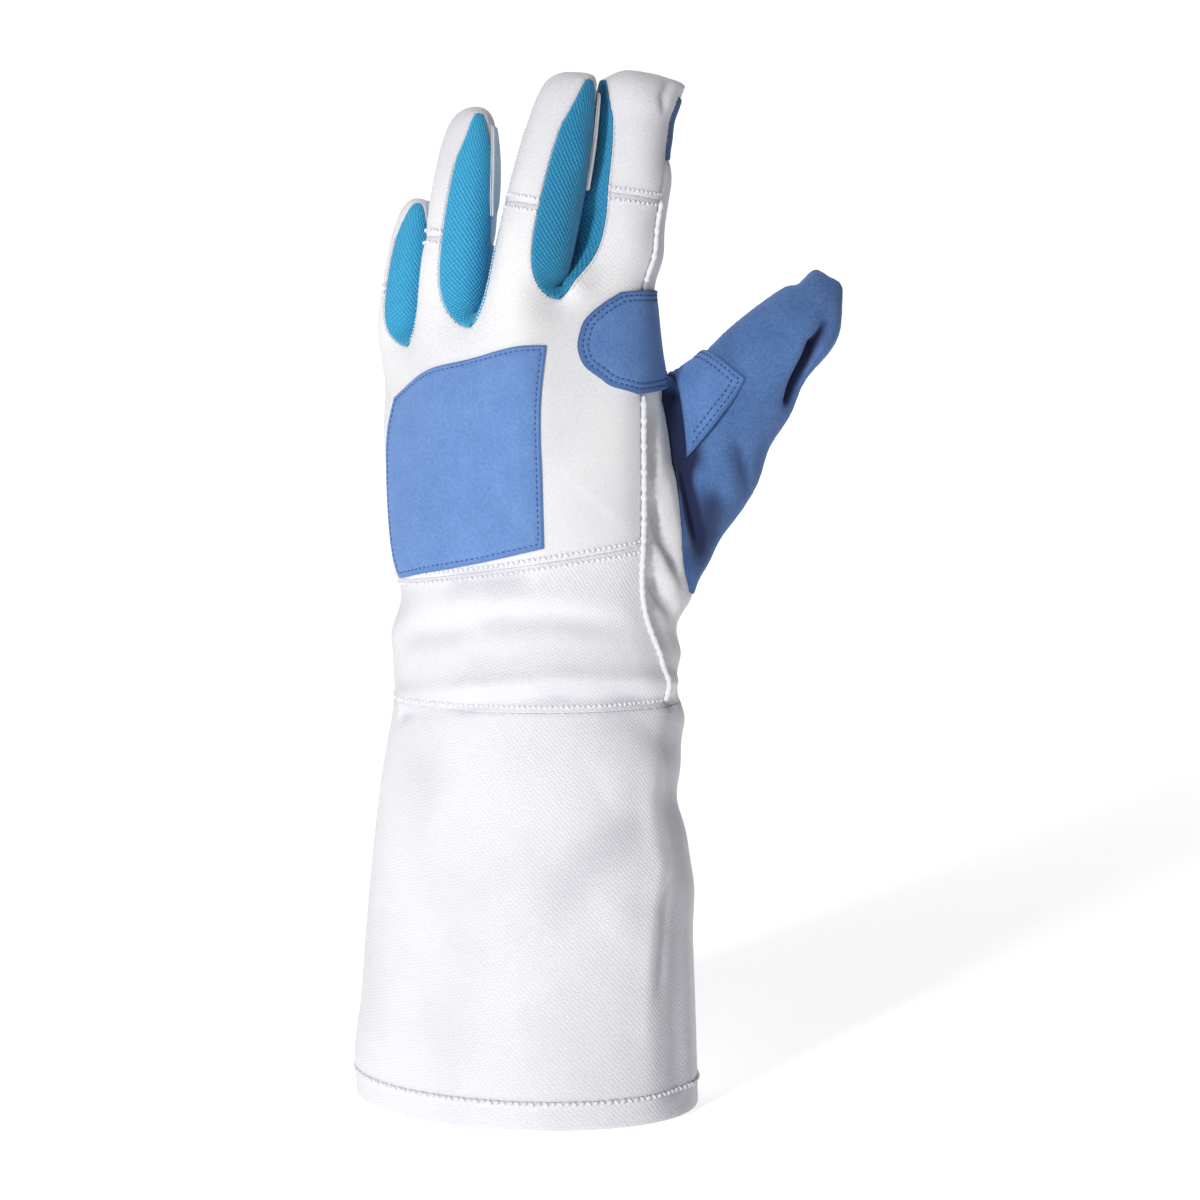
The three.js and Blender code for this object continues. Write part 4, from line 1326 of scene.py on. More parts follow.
class Shader:
    """A material's node tree, made node by node."""

    def __init__(self, name: str) -> None:
        """Starts an empty material.

        Args:
            name: Its name.
        """
        self.material = bpy.data.materials.new(name)
        self.material.use_nodes = True
        self.tree = self.material.node_tree
        self.tree.nodes.clear()

    def node(
        self, kind: str, settings: dict | None = None, inputs: dict | None = None, output: int | str = 0
    ) -> Sock:
        """Adds a node.

        Args:
            kind: The node's type.
            settings: Its properties, which are set first.
            inputs: Its sockets' values or links, by name or number.
            output: The output that is wanted, if the node has any.

        Returns:
            That output.
        """
        made = self.tree.nodes.new(kind)
        for key, value in (settings or {}).items():
            setattr(made, key, value)
        for key, value in (inputs or {}).items():
            if isinstance(value, Sock):
                self.tree.links.new(value.socket, made.inputs[key])
            else:
                made.inputs[key].default_value = value
        return Sock(self, made.outputs[output] if len(made.outputs) else None)

    def blend(self, share: Sock | float, low: Sock | Colour, high: Sock | Colour) -> Sock:
        """Returns a colour mixed from low to high."""
        low, high = ((*c, 1.0) if isinstance(c, tuple) else c for c in (low, high))
        return self.node("ShaderNodeMix", {"data_type": "RGBA"}, {0: share, 6: low, 7: high}, 2)

    def cloth(self) -> Sock:
        """Returns the flat measure of the piece, in millimetres."""
        return self.node("ShaderNodeUVMap", {"uv_map": "cloth"})

    def place(self) -> Sock:
        """Returns the position on the piece, in metres."""
        return self.node("ShaderNodeTexCoord", output="Object")

    def edge(self) -> Sock:
        """Returns the distance to the piece's edge, in millimetres."""
        return self.node("ShaderNodeAttribute", {"attribute_name": "edge"}, output="Fac")

    def crease(self) -> Sock:
        """Returns the painted shade of the folds: their depth times their shade, in millimetres; a ridge's
        is below 0.
        """
        return self.node("ShaderNodeAttribute", {"attribute_name": "crease"}, output="Fac")

    def noise(self, where: Sock, scale: float, detail: float = 2.0, rough: float = 0.5) -> Sock:
        """Returns noise of a scale at a place."""
        inputs = {"Vector": where, "Scale": scale, "Detail": detail, "Roughness": rough}
        return self.node("ShaderNodeTexNoise", {}, inputs, "Fac")

    def parts(self, where: Sock) -> tuple[Sock, Sock]:
        """Returns the first two coordinates of a place."""
        split = self.node("ShaderNodeSeparateXYZ", {}, {0: where})
        return split, Sock(self, split.socket.node.outputs[1])

    def finish(
        self, bump: Sock, depth: float, strength: float = 1.0, **inputs: Sock | float | tuple
    ) -> bpy.types.Material:
        """Ends the material with a Principled surface.

        Args:
            bump: The height of its relief, from 0 to 1.
            depth: The relief's depth in millimetres.
            strength: How strongly the relief shows.
            **inputs: The surface's sockets, with spaces written as underscores.

        Returns:
            The finished material.
        """
        sockets = {"Height": bump, "Distance": depth * MM, "Strength": strength}
        normal = self.node("ShaderNodeBump", {}, sockets)
        named = {key.replace("_", " "): value for key, value in inputs.items()}
        surface = self.node("ShaderNodeBsdfPrincipled", {}, {"Normal": normal, **named})
        self.node("ShaderNodeOutputMaterial", {}, {"Surface": surface})
        return self.material


@dataclass(frozen=True)
class Canvas:
    """White canvas with a fine crosswise weave. Lengths are in millimetres."""

    name: str = "canvas"
    colour: Colour = (0.86, 0.855, 0.885)
    shade: Colour = (0.66, 0.65, 0.71)
    thread: float = 1.25
    relief: float = 0.26

    def build(self) -> bpy.types.Material:
        """Builds the material.

        Returns:
            The material.
        """
        shader = Shader(self.name)
        cloth = shader.cloth()
        across, along = shader.parts(cloth)
        waver = shader.noise(cloth, 0.35, 2.0)
        pitch = 2 * math.pi / self.thread
        weft = (along * pitch + across * (pitch * 0.3) + waver * 7.0).sine() * 0.5 + 0.5
        warp = (across * (pitch * 0.8) - along * (pitch * 0.6) + waver * 6.0).sine() * 0.5 + 0.5
        nubs = shader.noise(cloth, 1.4, 3.0, 0.6)
        weave = weft * warp * 0.55 + nubs * 0.75
        wear = shader.noise(shader.place(), 22.0, 3.0)
        tone = wear.ramp(0.35, 0.75) * 0.35 + (1 - weave.ramp(0.2, 0.9)) * 0.4
        seam = 1 - shader.edge().ramp(0.2, 2.2)
        # painted shade: the folds' painted crease shade darkens the canvas in its folds
        tone = tone + seam * 0.12 + shader.crease().ramp(0.1, 2.8) * 0.8
        colour = shader.blend(tone, self.colour, self.shade)
        rough = 0.82 + weave * 0.12
        return shader.finish(
            weave,
            self.relief,
            0.9,
            Base_Color=colour,
            Roughness=rough,
            Sheen_Weight=0.15,
            Sheen_Roughness=0.4,
        )


@dataclass(frozen=True)
class Padding:
    """White padded cloth with a soft, brushed grain, and painted shade that darkens it towards the
    fingertips.
    """

    name: str = "padding"
    colour: Colour = (0.86, 0.86, 0.875)
    shade: Colour = (0.62, 0.62, 0.67)
    painted_tip_shade: float = 0.5
    relief: float = 0.2

    def build(self) -> bpy.types.Material:
        """Builds the material.

        Returns:
            The material.
        """
        shader = Shader(self.name)
        cloth = shader.cloth()
        across, along = shader.parts(cloth)
        waver = shader.noise(cloth, 0.3, 2.0)
        twill = (across * 4.2 + along * 4.6 + waver * 5.0).sine() * 0.5 + 0.5
        grain = shader.noise(cloth, 1.1, 4.0, 0.62)
        height = twill * 0.3 + grain * 0.8
        blotch = shader.noise(shader.place(), 26.0, 3.0)
        seam = 1 - shader.edge().ramp(0.2, 2.6)
        tone = blotch.ramp(0.35, 0.8) * 0.3 + (1 - grain.ramp(0.3, 0.7)) * 0.35 + seam * 0.15
        # painted shade: the padding darkens towards the top, at the fingertips, and in its folds by their
        # painted crease shade
        rise = shader.node("ShaderNodeSeparateXYZ", {}, {0: shader.place()}, 2)
        tone = tone + shader.crease().ramp(0.1, 2.8) * 0.9 + rise.ramp(0.30, 0.375) * self.painted_tip_shade
        colour = shader.blend(tone, self.colour, self.shade)
        rough = 0.85 + grain * 0.1
        return shader.finish(
            height,
            self.relief,
            0.7,
            Base_Color=colour,
            Roughness=rough,
            Sheen_Weight=0.2,
            Sheen_Roughness=0.45,
        )


@dataclass(frozen=True)
class Suede:
    """Blue suede: a speckled nap that is lighter where it is brushed, and darker at folded edges, with
    painted shade in its folds down to a near-black painted shadow.
    """

    name: str = "suede"
    colour: Colour = (0.121, 0.245, 0.54)
    light: Colour = (0.172, 0.32, 0.64)
    dark: Colour = (0.07, 0.155, 0.39)
    painted_shadow: Colour = (0.006, 0.012, 0.06)
    relief: float = 0.2

    def build(self) -> bpy.types.Material:
        """Builds the material.

        Returns:
            The material.
        """
        shader = Shader(self.name)
        place = shader.place()
        nap = shader.noise(place, 950.0, 3.0, 0.65)
        hairs = shader.noise(place, 2600.0, 2.0, 0.5)
        brushed = shader.noise(place, 90.0, 4.0, 0.6)
        edge = 1 - shader.edge().ramp(0.1, 1.8)
        tone = brushed.ramp(0.3, 0.75) * 0.5 + nap.ramp(0.35, 0.75) * 0.4
        colour = shader.blend(tone, self.colour, self.light)
        colour = shader.blend((1 - nap.ramp(0.25, 0.6)) * 0.28, colour, self.dark)
        colour = shader.blend(edge * 0.55, colour, self.dark)
        # painted shade: the folds' painted crease shade blends the suede towards a near-black painted shadow
        colour = shader.blend(shader.crease().ramp(0.2, 2.4), colour, self.painted_shadow)
        height = nap * 0.7 + hairs * 0.35 + brushed * 0.4
        rough = 0.88 + nap * 0.1
        return shader.finish(
            height,
            self.relief,
            0.8,
            Base_Color=colour,
            Roughness=rough,
            Sheen_Weight=0.25,
            Sheen_Roughness=0.55,
            Sheen_Tint=(0.5, 0.66, 1.0, 1.0),
        )


@dataclass(frozen=True)
class Knit:
    """Cyan stretch knit with fine slanting ribs."""

    name: str = "knit"
    colour: Colour = (0.034, 0.365, 0.63)
    light: Colour = (0.06, 0.475, 0.77)
    dark: Colour = (0.006, 0.16, 0.35)
    rib: float = 1.3
    relief: float = 0.45

    def build(self) -> bpy.types.Material:
        """Builds the material.

        Returns:
            The material.
        """
        shader = Shader(self.name)
        cloth = shader.cloth()
        across, along = shader.parts(cloth)
        waver = shader.noise(cloth, 0.25, 2.0)
        pitch = 2 * math.pi / self.rib
        ribs = (across * (pitch * 0.75) + along * (pitch * 0.62) + waver * 3.0).sine() * 0.5 + 0.5
        loops = (across * (pitch * 0.7) - along * (pitch * 0.75) + waver * 3.0).sine() * 0.5 + 0.5
        height = ribs * 0.62 + loops * 0.38
        blotch = shader.noise(shader.place(), 60.0, 3.0)
        fuzz = shader.noise(cloth, 1.8, 3.0, 0.6)
        height = height + (fuzz - 0.5) * 0.7
        colour = shader.blend(height.ramp(0.1, 0.8), self.dark, self.light)
        colour = shader.blend(0.4 + blotch * 0.2, colour, self.colour)
        # painted shade: the folds' painted crease shade darkens the knit in its folds
        colour = shader.blend(shader.crease().ramp(0.4, 3.0) * 0.8, colour, self.dark)
        edge = 1 - shader.edge().ramp(0.1, 1.4)
        colour = shader.blend(edge * 0.4, colour, self.light)
        rough = 0.7 + height * 0.2
        return shader.finish(
            height,
            self.relief,
            0.8,
            Base_Color=colour,
            Roughness=rough,
            Sheen_Weight=0.15,
            Sheen_Roughness=0.4,
        )


@dataclass(frozen=True)
class Thread:
    """Sewing thread or folded tape: one colour with a fine twist."""

    name: str
    colour: Colour
    dark: Colour
    relief: float = 0.12

    def build(self) -> bpy.types.Material:
        """Builds the material.

        Returns:
            The material.
        """
        shader = Shader(self.name)
        place = shader.place()
        twist = shader.noise(place, 1400.0, 2.0)
        tone = shader.noise(place, 120.0, 2.0)
        colour = shader.blend(twist.ramp(0.3, 0.7) * 0.5 + tone * 0.3, self.dark, self.colour)
        return shader.finish(twist, self.relief, 0.6, Base_Color=colour, Roughness=0.7 + twist * 0.15)


class Finish(Enum):
    """The glove's finishes."""

    CANVAS = Canvas()
    PADDING = Padding()
    SUEDE = Suede()
    # Darker copies of the blue suede and of the cyan knit are painted shade, for pieces that lie in shade.
    MID_SUEDE = Suede("mid_suede", (0.092, 0.198, 0.468), (0.133, 0.268, 0.575), (0.033, 0.082, 0.25))
    DEEP_SUEDE = Suede("deep_suede", (0.06, 0.136, 0.335), (0.102, 0.212, 0.475), (0.02, 0.053, 0.175))
    KNIT = Knit()
    DEEP_KNIT = Knit("deep_knit", (0.014, 0.23, 0.44), (0.03, 0.35, 0.60), (0.003, 0.09, 0.22))
    TAPE = Thread("tape", (0.86, 0.86, 0.87), (0.70, 0.70, 0.74))
    WHITE_THREAD = Thread("white_thread", (0.90, 0.90, 0.92), (0.72, 0.72, 0.78))
    BLUE_THREAD = Thread("blue_thread", (0.10, 0.20, 0.46), (0.035, 0.08, 0.24))
    DARK_THREAD = Thread("dark_thread", (0.05, 0.10, 0.26), (0.02, 0.045, 0.13))


class StitchNodes:
    """The geometry nodes that lay stitches along paths."""

    INPUTS = (
        ("Pitch", "NodeSocketFloat"),
        ("Length", "NodeSocketFloat"),
        ("Width", "NodeSocketFloat"),
        ("Swing", "NodeSocketFloat"),
        ("Seed", "NodeSocketInt"),
        ("Thread", "NodeSocketMaterial"),
    )

    def __init__(self) -> None:
        """Builds the tree."""
        self.tree = bpy.data.node_groups.new("stitch_row", "GeometryNodeTree")
        self.tree.is_modifier = True
        interface = self.tree.interface
        interface.new_socket("Geometry", in_out="INPUT", socket_type="NodeSocketGeometry")
        self.ids = {}
        for name, kind in self.INPUTS:
            self.ids[name] = interface.new_socket(name, in_out="INPUT", socket_type=kind).identifier
        interface.new_socket("Geometry", in_out="OUTPUT", socket_type="NodeSocketGeometry")
        self.build()

    def add(
        self, kind: str, settings: dict | None = None, inputs: dict | None = None
    ) -> bpy.types.bpy_prop_collection:
        """Adds a node.

        Args:
            kind: The node's type.
            settings: Its properties, which are set first.
            inputs: Its sockets' values or links, by name or number.

        Returns:
            Its outputs.
        """
        node = self.tree.nodes.new(kind)
        for key, value in (settings or {}).items():
            setattr(node, key, value)
        for key, value in (inputs or {}).items():
            if isinstance(value, bpy.types.NodeSocket):
                self.tree.links.new(value, node.inputs[key])
            else:
                node.inputs[key].default_value = value
        return node.outputs

    def build(self) -> None:
        """Adds the nodes: path to points, a stitch at each point, turned to lie on the cloth."""
        given = self.add("NodeGroupInput")
        curve = self.add("GeometryNodeMeshToCurve", {}, {0: given["Geometry"]})
        spread = {"Curve": curve[0], "Length": given["Pitch"]}
        points = self.add("GeometryNodeCurveToPoints", {"mode": "LENGTH"}, spread)
        facing_type = {"data_type": "FLOAT_VECTOR"}
        facing = self.add("GeometryNodeInputNamedAttribute", facing_type, {"Name": "facing"})
        tangent = {"Vector": points["Tangent"]}
        along = self.add("FunctionNodeAlignRotationToVector", {"axis": "X"}, tangent)
        upright = {"axis": "Z", "pivot_axis": "X"}
        lying = {"Rotation": along[0], "Vector": facing[0]}
        turned = self.add("FunctionNodeAlignRotationToVector", upright, lying)
        index = self.add("GeometryNodeInputIndex")
        parity = self.add("ShaderNodeMath", {"operation": "MODULO"}, {0: index[0], 1: 2.0})
        sign = self.add("ShaderNodeMath", {"operation": "MULTIPLY_ADD"}, {0: parity[0], 1: 2.0, 2: -1.0})
        swing = self.add("ShaderNodeMath", {"operation": "MULTIPLY"}, {0: sign[0], 1: given["Swing"]})
        about = self.add("FunctionNodeAxisAngleToRotation", {}, {"Axis": (0, 0, 1), "Angle": swing[0]})
        swung = {0: turned[0], 1: about[0]}
        rotation = self.add("FunctionNodeRotateRotation", {"rotation_space": "LOCAL"}, swung)
        ball = self.add("GeometryNodeMeshUVSphere", {}, {"Segments": 6, "Rings": 5, "Radius": 0.5})
        sizes = {0: given["Length"], 1: given["Width"], 2: given["Width"]}
        size = self.add("ShaderNodeCombineXYZ", {}, sizes)
        stitch = self.add("GeometryNodeTransform", {}, {"Geometry": ball[0], "Scale": size[0]})
        uneven = {2: 0.88, 3: 1.1, "Seed": given["Seed"]}
        scale = self.add("FunctionNodeRandomValue", {"data_type": "FLOAT"}, uneven)
        copies = {
            "Points": points["Points"],
            "Instance": stitch[0],
            "Rotation": rotation[0],
            "Scale": scale[1],
        }
        placed = self.add("GeometryNodeInstanceOnPoints", {}, copies)
        real = self.add("GeometryNodeRealizeInstances", {}, {0: placed[0]})
        smooth = self.add("GeometryNodeSetShadeSmooth", {}, {0: real[0]})
        dyed = self.add("GeometryNodeSetMaterial", {}, {0: smooth[0], "Material": given["Thread"]})
        self.add("NodeGroupOutput", {}, {0: dyed[0]})


@dataclass(frozen=True)
class Seam:
    """A row of stitches along places of a chart. Sizes are in millimetres."""

    chart: str
    path: tuple[Place, ...]
    row: Row = Row.STRAIGHT
    pitch: float = 2.4
    length: float = 1.7
    width: float = 0.62
    lift: float = 0.15


@dataclass(frozen=True)
class Level:
    """A level of a patch, from a column and a row to another column and row."""

    start: float
    row: float
    end: float
    end_row: float


@dataclass(frozen=True)
class Patch:
    """A patch on the skin: its levels from bottom to top, and its stitch rows.

    Each stitch row is an inset from the edge with the part of the outline that it follows, in
    degrees from the middle of the first side, or is left out.
    """

    name: str
    chart: str
    levels: tuple[Level, ...]
    thickness: float = 1.25
    lift: float = 0.25
    grid: tuple[int, int] = (72, 72)
    rows: tuple[tuple[float, float, float], ...] = ()
    crown: float = 0.0
    arch: float = 0.0
    curl: float = 0.0
    rim: float = 0.35


def spline(values: Sequence[float], shares: np.ndarray) -> np.ndarray:
    """Runs a smooth line through evenly spaced values.

    Args:
        values: The values.
        shares: The places on the line that are wanted, from 0 to 1.

    Returns:
        The line's values there.
    """
    knots = np.asarray(values, float)
    knots = np.concatenate([[2 * knots[0] - knots[1]], knots, [2 * knots[-1] - knots[-2]]])
    where = np.clip(shares, 0, 1) * (len(values) - 1)
    cell = np.minimum(where.astype(int), len(values) - 2)
    t = where - cell
    p0, p1, p2, p3 = (knots[cell + k] for k in range(4))
    return p1 + 0.5 * t * (p2 - p0 + t * (2 * p0 - 5 * p1 + 4 * p2 - p3 + t * (3 * (p1 - p2) + p3 - p0)))


@dataclass
class Workshop:
    """What all of the glove's parts are made with."""

    skin: Skin
    stitcher: StitchNodes
    materials: dict[Finish, bpy.types.Material] = field(default_factory=dict)

    def material(self, finish: Finish) -> bpy.types.Material:
        """Finds the material of a finish, which is built when it is first wanted.

        Args:
            finish: The finish.

        Returns:
            Its material.
        """
        if finish not in self.materials:
            self.materials[finish] = finish.value.build()
        return self.materials[finish]

    def dress(self, piece: bpy.types.Object, finish: Finish, slot: Slot, node: str = "") -> bpy.types.Object:
        """Gives a piece its finish and its body, and hides the node that it stands for.

        Args:
            piece: The piece.
            finish: Its finish, where it has no material yet.
            slot: Its slot; not used.
            node: The node, or nothing where it stands for none.

        Returns:
            The piece.
        """
        if not piece.data.materials:
            piece.data.materials.append(self.material(finish))
        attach(piece, BODY)
        if node:
            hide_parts(node)
        LOG.info("%s: %d faces", piece.name, len(piece.data.polygons))
        return piece

    def sew(
        self,
        name: str,
        seams: Sequence[tuple[np.ndarray, np.ndarray, Seam]],
        finish: Finish,
        slot: Slot,
    ) -> None:
        """Lays rows of stitches and dresses them as one piece.

        Args:
            name: The piece's name.
            seams: Each row's points, outward directions and sizes.
            finish: The thread.
            slot: The slot that the thread belongs to.
        """
        kinds: dict[tuple, list[tuple[np.ndarray, np.ndarray]]] = {}
        for points, facing, seam in seams:
            key = (seam.row, seam.pitch, seam.length, seam.width)
            kinds.setdefault(key, []).append((points, facing))
        meshes = []
        for seed, ((row, pitch, length, width), paths) in enumerate(kinds.items()):
            values = {
                "Pitch": pitch * MM,
                "Length": length * MM,
                "Width": width * MM,
                "Swing": row.value,
                "Seed": seed,
                "Thread": self.material(finish),
            }
            meshes.append(self.lay(name, paths, values))
        points, faces, count = [], [], 0
        for mesh in meshes:
            points.append(Skin.read(mesh.vertices, "co", (-1, 3)) / MM)
            faces += [[v + count for v in polygon.vertices] for polygon in mesh.polygons]
            count += len(mesh.vertices)
        self.dress(make_object(name, np.concatenate(points), faces), finish, slot)

    def lay(
        self, name: str, paths: Sequence[tuple[np.ndarray, np.ndarray]], values: dict
    ) -> bpy.types.Mesh:
        """Lays stitches of one kind along paths.

        Args:
            name: The mesh's name.
            paths: Each row's points and outward directions.
            values: The stitch nodes' inputs.

        Returns:
            The stitches, as a plain mesh.
        """
        mesh = bpy.data.meshes.new(name)
        points = np.concatenate([path[0] for path in paths])
        starts = np.cumsum([0] + [len(path[0]) for path in paths])
        edges = [(k, k + 1) for s, e in zip(starts[:-1], starts[1:]) for k in range(s, e - 1)]
        mesh.from_pydata((points * MM).tolist(), edges, [])
        facing = mesh.attributes.new("facing", "FLOAT_VECTOR", "POINT")
        directions = np.concatenate([path[1] for path in paths])
        facing.data.foreach_set("vector", directions.astype(np.float32).ravel())
        holder = link(name, mesh)
        layer = holder.modifiers.new("stitches", "NODES")
        layer.node_group = self.stitcher.tree
        for key, value in values.items():
            layer[self.stitcher.ids[key]] = value
        holder.update_tag()
        graph = bpy.context.evaluated_depsgraph_get()
        made = bpy.data.meshes.new_from_object(holder.evaluated_get(graph))
        bpy.data.objects.remove(holder)
        return made

    def follow(self, seam: Seam) -> tuple[np.ndarray, np.ndarray, Seam]:
        """Follows a seam over the skin, in steps of about a millimetre.

        Args:
            seam: The seam.

        Returns:
            Its points, its outward directions and the seam itself.
        """
        path = np.array(seam.path)
        rough, _ = self.skin.at(seam.chart, path[:, 0], path[:, 1])
        lengths = travelled(rough)
        wanted = np.linspace(0, lengths[-1], max(3, int(lengths[-1] * 1.3)))
        u, v = (np.interp(wanted, lengths, path[:, k]) for k in (0, 1))
        return *self.skin.at(seam.chart, u, v, seam.lift), seam

    def patch(self, patch: Patch, finish: Finish, slot: Slot, thread: Finish) -> None:
        """Makes a patch and its stitches.

        Args:
            patch: Its shape.
            finish: Its finish.
            slot: Its slot.
            thread: The finish of its stitches.
        """
        across, up = patch.grid
        even = (np.linspace(0, 1, count) for count in patch.grid)
        spread = [0.45 * x + 0.55 * (1 - np.cos(np.pi * x)) / 2 for x in even]
        ends = [
            spline([getattr(level, name) for level in patch.levels], spread[1])
            for name in ("start", "row", "end", "end_row")
        ]
        share = spread[0][None, :]
        u = ends[0][:, None] * (1 - share) + ends[2][:, None] * share
        v = ends[1][:, None] * (1 - share) + ends[3][:, None] * share
        rising = spread[1][:, None]
        v = v + patch.arch * np.sin(np.pi * share) * rising**2
        base, normals = self.skin.at(patch.chart, u, v)
        outline = np.concatenate([base[0], base[:, -1], base[-1], base[:, 0]])
        away = nearest(base.reshape(-1, 3), outline)[1].reshape(up, across)
        upper, lower = self.plies(patch, away, share, rising)
        top, low = (base + normals * height[..., None] for height in (upper, lower))
        points, faces = self.close(top, low, normals[0, 0])
        measure = np.stack([u, v], axis=-1).reshape(-1, 2) * PATCH_CELL
        measure = np.concatenate([measure, measure])
        edge = np.concatenate([away.ravel(), np.zeros(away.size)])
        piece = make_object(patch.name, points, faces.tolist(), measure[faces], {"edge": edge})
        self.dress(piece, finish, slot, patch.name)
        rows = [self.inset_row(top, normals, away, row) for row in patch.rows]
        if rows:
            self.sew(f"{patch.name}_stitches", rows, thread, slot)

    @staticmethod
    def plies(
        patch: Patch, away: np.ndarray, share: np.ndarray, rising: np.ndarray
    ) -> tuple[np.ndarray, np.ndarray]:
        """Works out how high a patch's two sides lie over the skin.

        Args:
            patch: The patch.
            away: Distances to its edge.
            share: Its columns, from 0 to 1.
            rising: Its rows, from 0 to 1.

        Returns:
            The heights of its upper and its lower side.
        """
        rise = np.sqrt(np.clip(1 - (1 - np.clip(away / ROUND_EDGE, 0, 1)) ** 2, 0, 1))
        height = patch.lift + mix(patch.rim, patch.thickness, rise)
        height += patch.crown * (1 - np.exp(-((away / CROWN_REACH) ** 2)))
        for inset, *_ in patch.rows:
            height -= FURROW * np.exp(-(((away - inset) / FURROW_WIDTH) ** 2))
        curled = np.exp(-((share / 0.16) ** 2)) * np.sin(np.pi * np.clip(rising / 0.8, 0, 1))
        raised = patch.curl * curled
        return height + raised, 0.05 + raised * 0.75

    @staticmethod
    def close(top: np.ndarray, low: np.ndarray, outwards: np.ndarray) -> tuple[np.ndarray, np.ndarray]:
        """Closes two grids of points into one body.

        Args:
            top: The upper side.
            low: The lower side.
            outwards: The outward direction at the first corner.

        Returns:
            All points, and the faces, which face out.
        """
        up, across, _ = top.shape
        count = up * across
        ids = np.arange(count).reshape(up, across)
        quads = np.stack([ids[:-1, :-1], ids[1:, :-1], ids[1:, 1:], ids[:-1, 1:]], axis=-1).reshape(-1, 4)
        loop = np.concatenate([ids[0, :-1], ids[:-1, -1], ids[-1, :0:-1], ids[:0:-1, 0]])
        following = np.roll(loop, -1)
        sides = np.stack([loop, following, following + count, loop + count], axis=-1)[:, ::-1]
        faces = np.concatenate([quads, quads[:, ::-1] + count, sides])
        if np.cross(top[1, 0] - top[0, 0], top[0, 1] - top[0, 0]).dot(outwards) < 0:
            faces = faces[:, ::-1]
        return np.concatenate([top.reshape(-1, 3), low.reshape(-1, 3)]), faces

    @staticmethod
    def inset_row(
        top: np.ndarray, normals: np.ndarray, away: np.ndarray, row: tuple[float, float, float]
    ) -> tuple[np.ndarray, np.ndarray, Seam]:
        """Finds the line on a patch that keeps a distance from its edge.

        Args:
            top: The patch's upper side.
            normals: Its outward directions.
            away: Its distances to the edge.
            row: The wanted distance, and the first and last angle round the patch, in degrees.

        Returns:
            The line's points, directions and stitch sizes.
        """
        inset, start, end = row
        up, across = away.shape
        angles = np.radians(np.linspace(start, end, 240))
        reach = np.linspace(0.02, 1, 220)[:, None]
        aside, rise = np.cos(angles), np.sin(angles)
        largest = np.maximum(np.abs(aside), np.abs(rise))
        columns = (0.5 + 0.5 * reach * aside / largest) * (across - 1)
        rows = (0.5 + 0.5 * reach * rise / largest) * (up - 1)
        i, j = (np.clip(x.astype(int), 0, n - 2) for x, n in ((columns, across), (rows, up)))
        fi, fj = columns - i, rows - j

        def sample(values: np.ndarray) -> np.ndarray:
            """Works values out between the corners of the grid.

            Args:
                values: The values at the corners.

            Returns:
                The values at the wanted places.
            """
            gi, gj = (fi, fj) if values.ndim == 2 else (fi[..., None], fj[..., None])
            low = values[j, i] * (1 - gi) + values[j, i + 1] * gi
            return low * (1 - gj) + (values[j + 1, i] * (1 - gi) + values[j + 1, i + 1] * gi) * gj

        inside = sample(away) >= inset
        last = np.maximum(inside.shape[0] - 1 - np.argmax(inside[::-1], axis=0), 0)
        pick = (last, np.arange(len(angles)))
        facing = unit(sample(normals)[pick])
        seam = Seam("", (), Row.STRAIGHT, 2.1, 1.45, 0.55)
        return sample(top)[pick] + facing * 0.12, facing, seam

    def tube(self, name: str, seam: Seam, radius: float, finish: Finish, slot: Slot) -> None:
        """Makes a welt along a seam, a little gathered by its stitches.

        Args:
            name: The name of the piece, and of the node that it stands for.
            seam: The places that it follows.
            radius: Half of its width, in millimetres.
            finish: Its finish.
            slot: Its slot.
        """
        points, facing, _ = self.follow(seam)
        along = unit(np.gradient(points, axis=0))
        side = unit(np.cross(facing, along))
        sides = WELT_SIDES
        angles = np.arange(sides) * 2 * math.pi / sides
        distance = travelled(points)
        gather = 1 + 0.16 * np.sin(distance * 2 * math.pi / WELT_STITCH) + 0.1 * np.sin(distance * 1.3 + 1)
        ends = np.minimum(distance, distance[-1] - distance)
        gather *= np.sqrt(np.clip(ends / 1.2, 0.04, 1))
        circle = np.cos(angles)[None, :, None] * side[:, None] * 0.95
        circle = circle + np.sin(angles)[None, :, None] * facing[:, None]
        body = points[:, None] + circle * (gather * radius)[:, None, None]
        count = len(points)
        ids = np.arange(count * sides).reshape(count, sides)
        right = np.roll(ids, -1, axis=1)
        quads = np.stack([ids[:-1], right[:-1], right[1:], ids[1:]], axis=-1).reshape(-1, 4)
        faces = quads.tolist() + [ids[0, ::-1].tolist(), ids[-1].tolist()]
        self.dress(make_object(name, body.reshape(-1, 3), faces), finish, slot, name)


@dataclass
class Part:
    """A part of the glove: its panels, with their finishes, slots and cuts."""

    shop: Workshop
    canvas: Cut = Cut(2.4, 0.6, 1.5, 0.0)
    padded: Cut = Cut(2.6, 0.75, 2.4, 0.8, 0.06)
    suede: Cut = Cut(1.6, 0.7, 1.6, 0.3)
    knit: Cut = Cut(1.4, 0.35, 1.4, 0.4, 0.05)

    def panel(self, name: str, cut: Cut, finish: Finish, slot: Slot) -> bpy.types.Object:
        """Cuts and dresses a panel."""
        return self.shop.dress(self.shop.skin.cut(name, cut), finish, slot, name)

    def pad(self, name: str, fill: float) -> None:
        """Cuts and dresses a padded panel; the share that it is stuffed by is not used."""
        self.panel(name, self.padded, Finish.PADDING, Slot.PADDED)

    def seams(self, name: str, seams: Sequence[Seam]) -> None:
        """Sews rows of white stitches as one piece."""
        rows = [self.shop.follow(seam) for seam in seams]
        self.shop.sew(name, rows, Finish.WHITE_THREAD, Slot.TRIM)


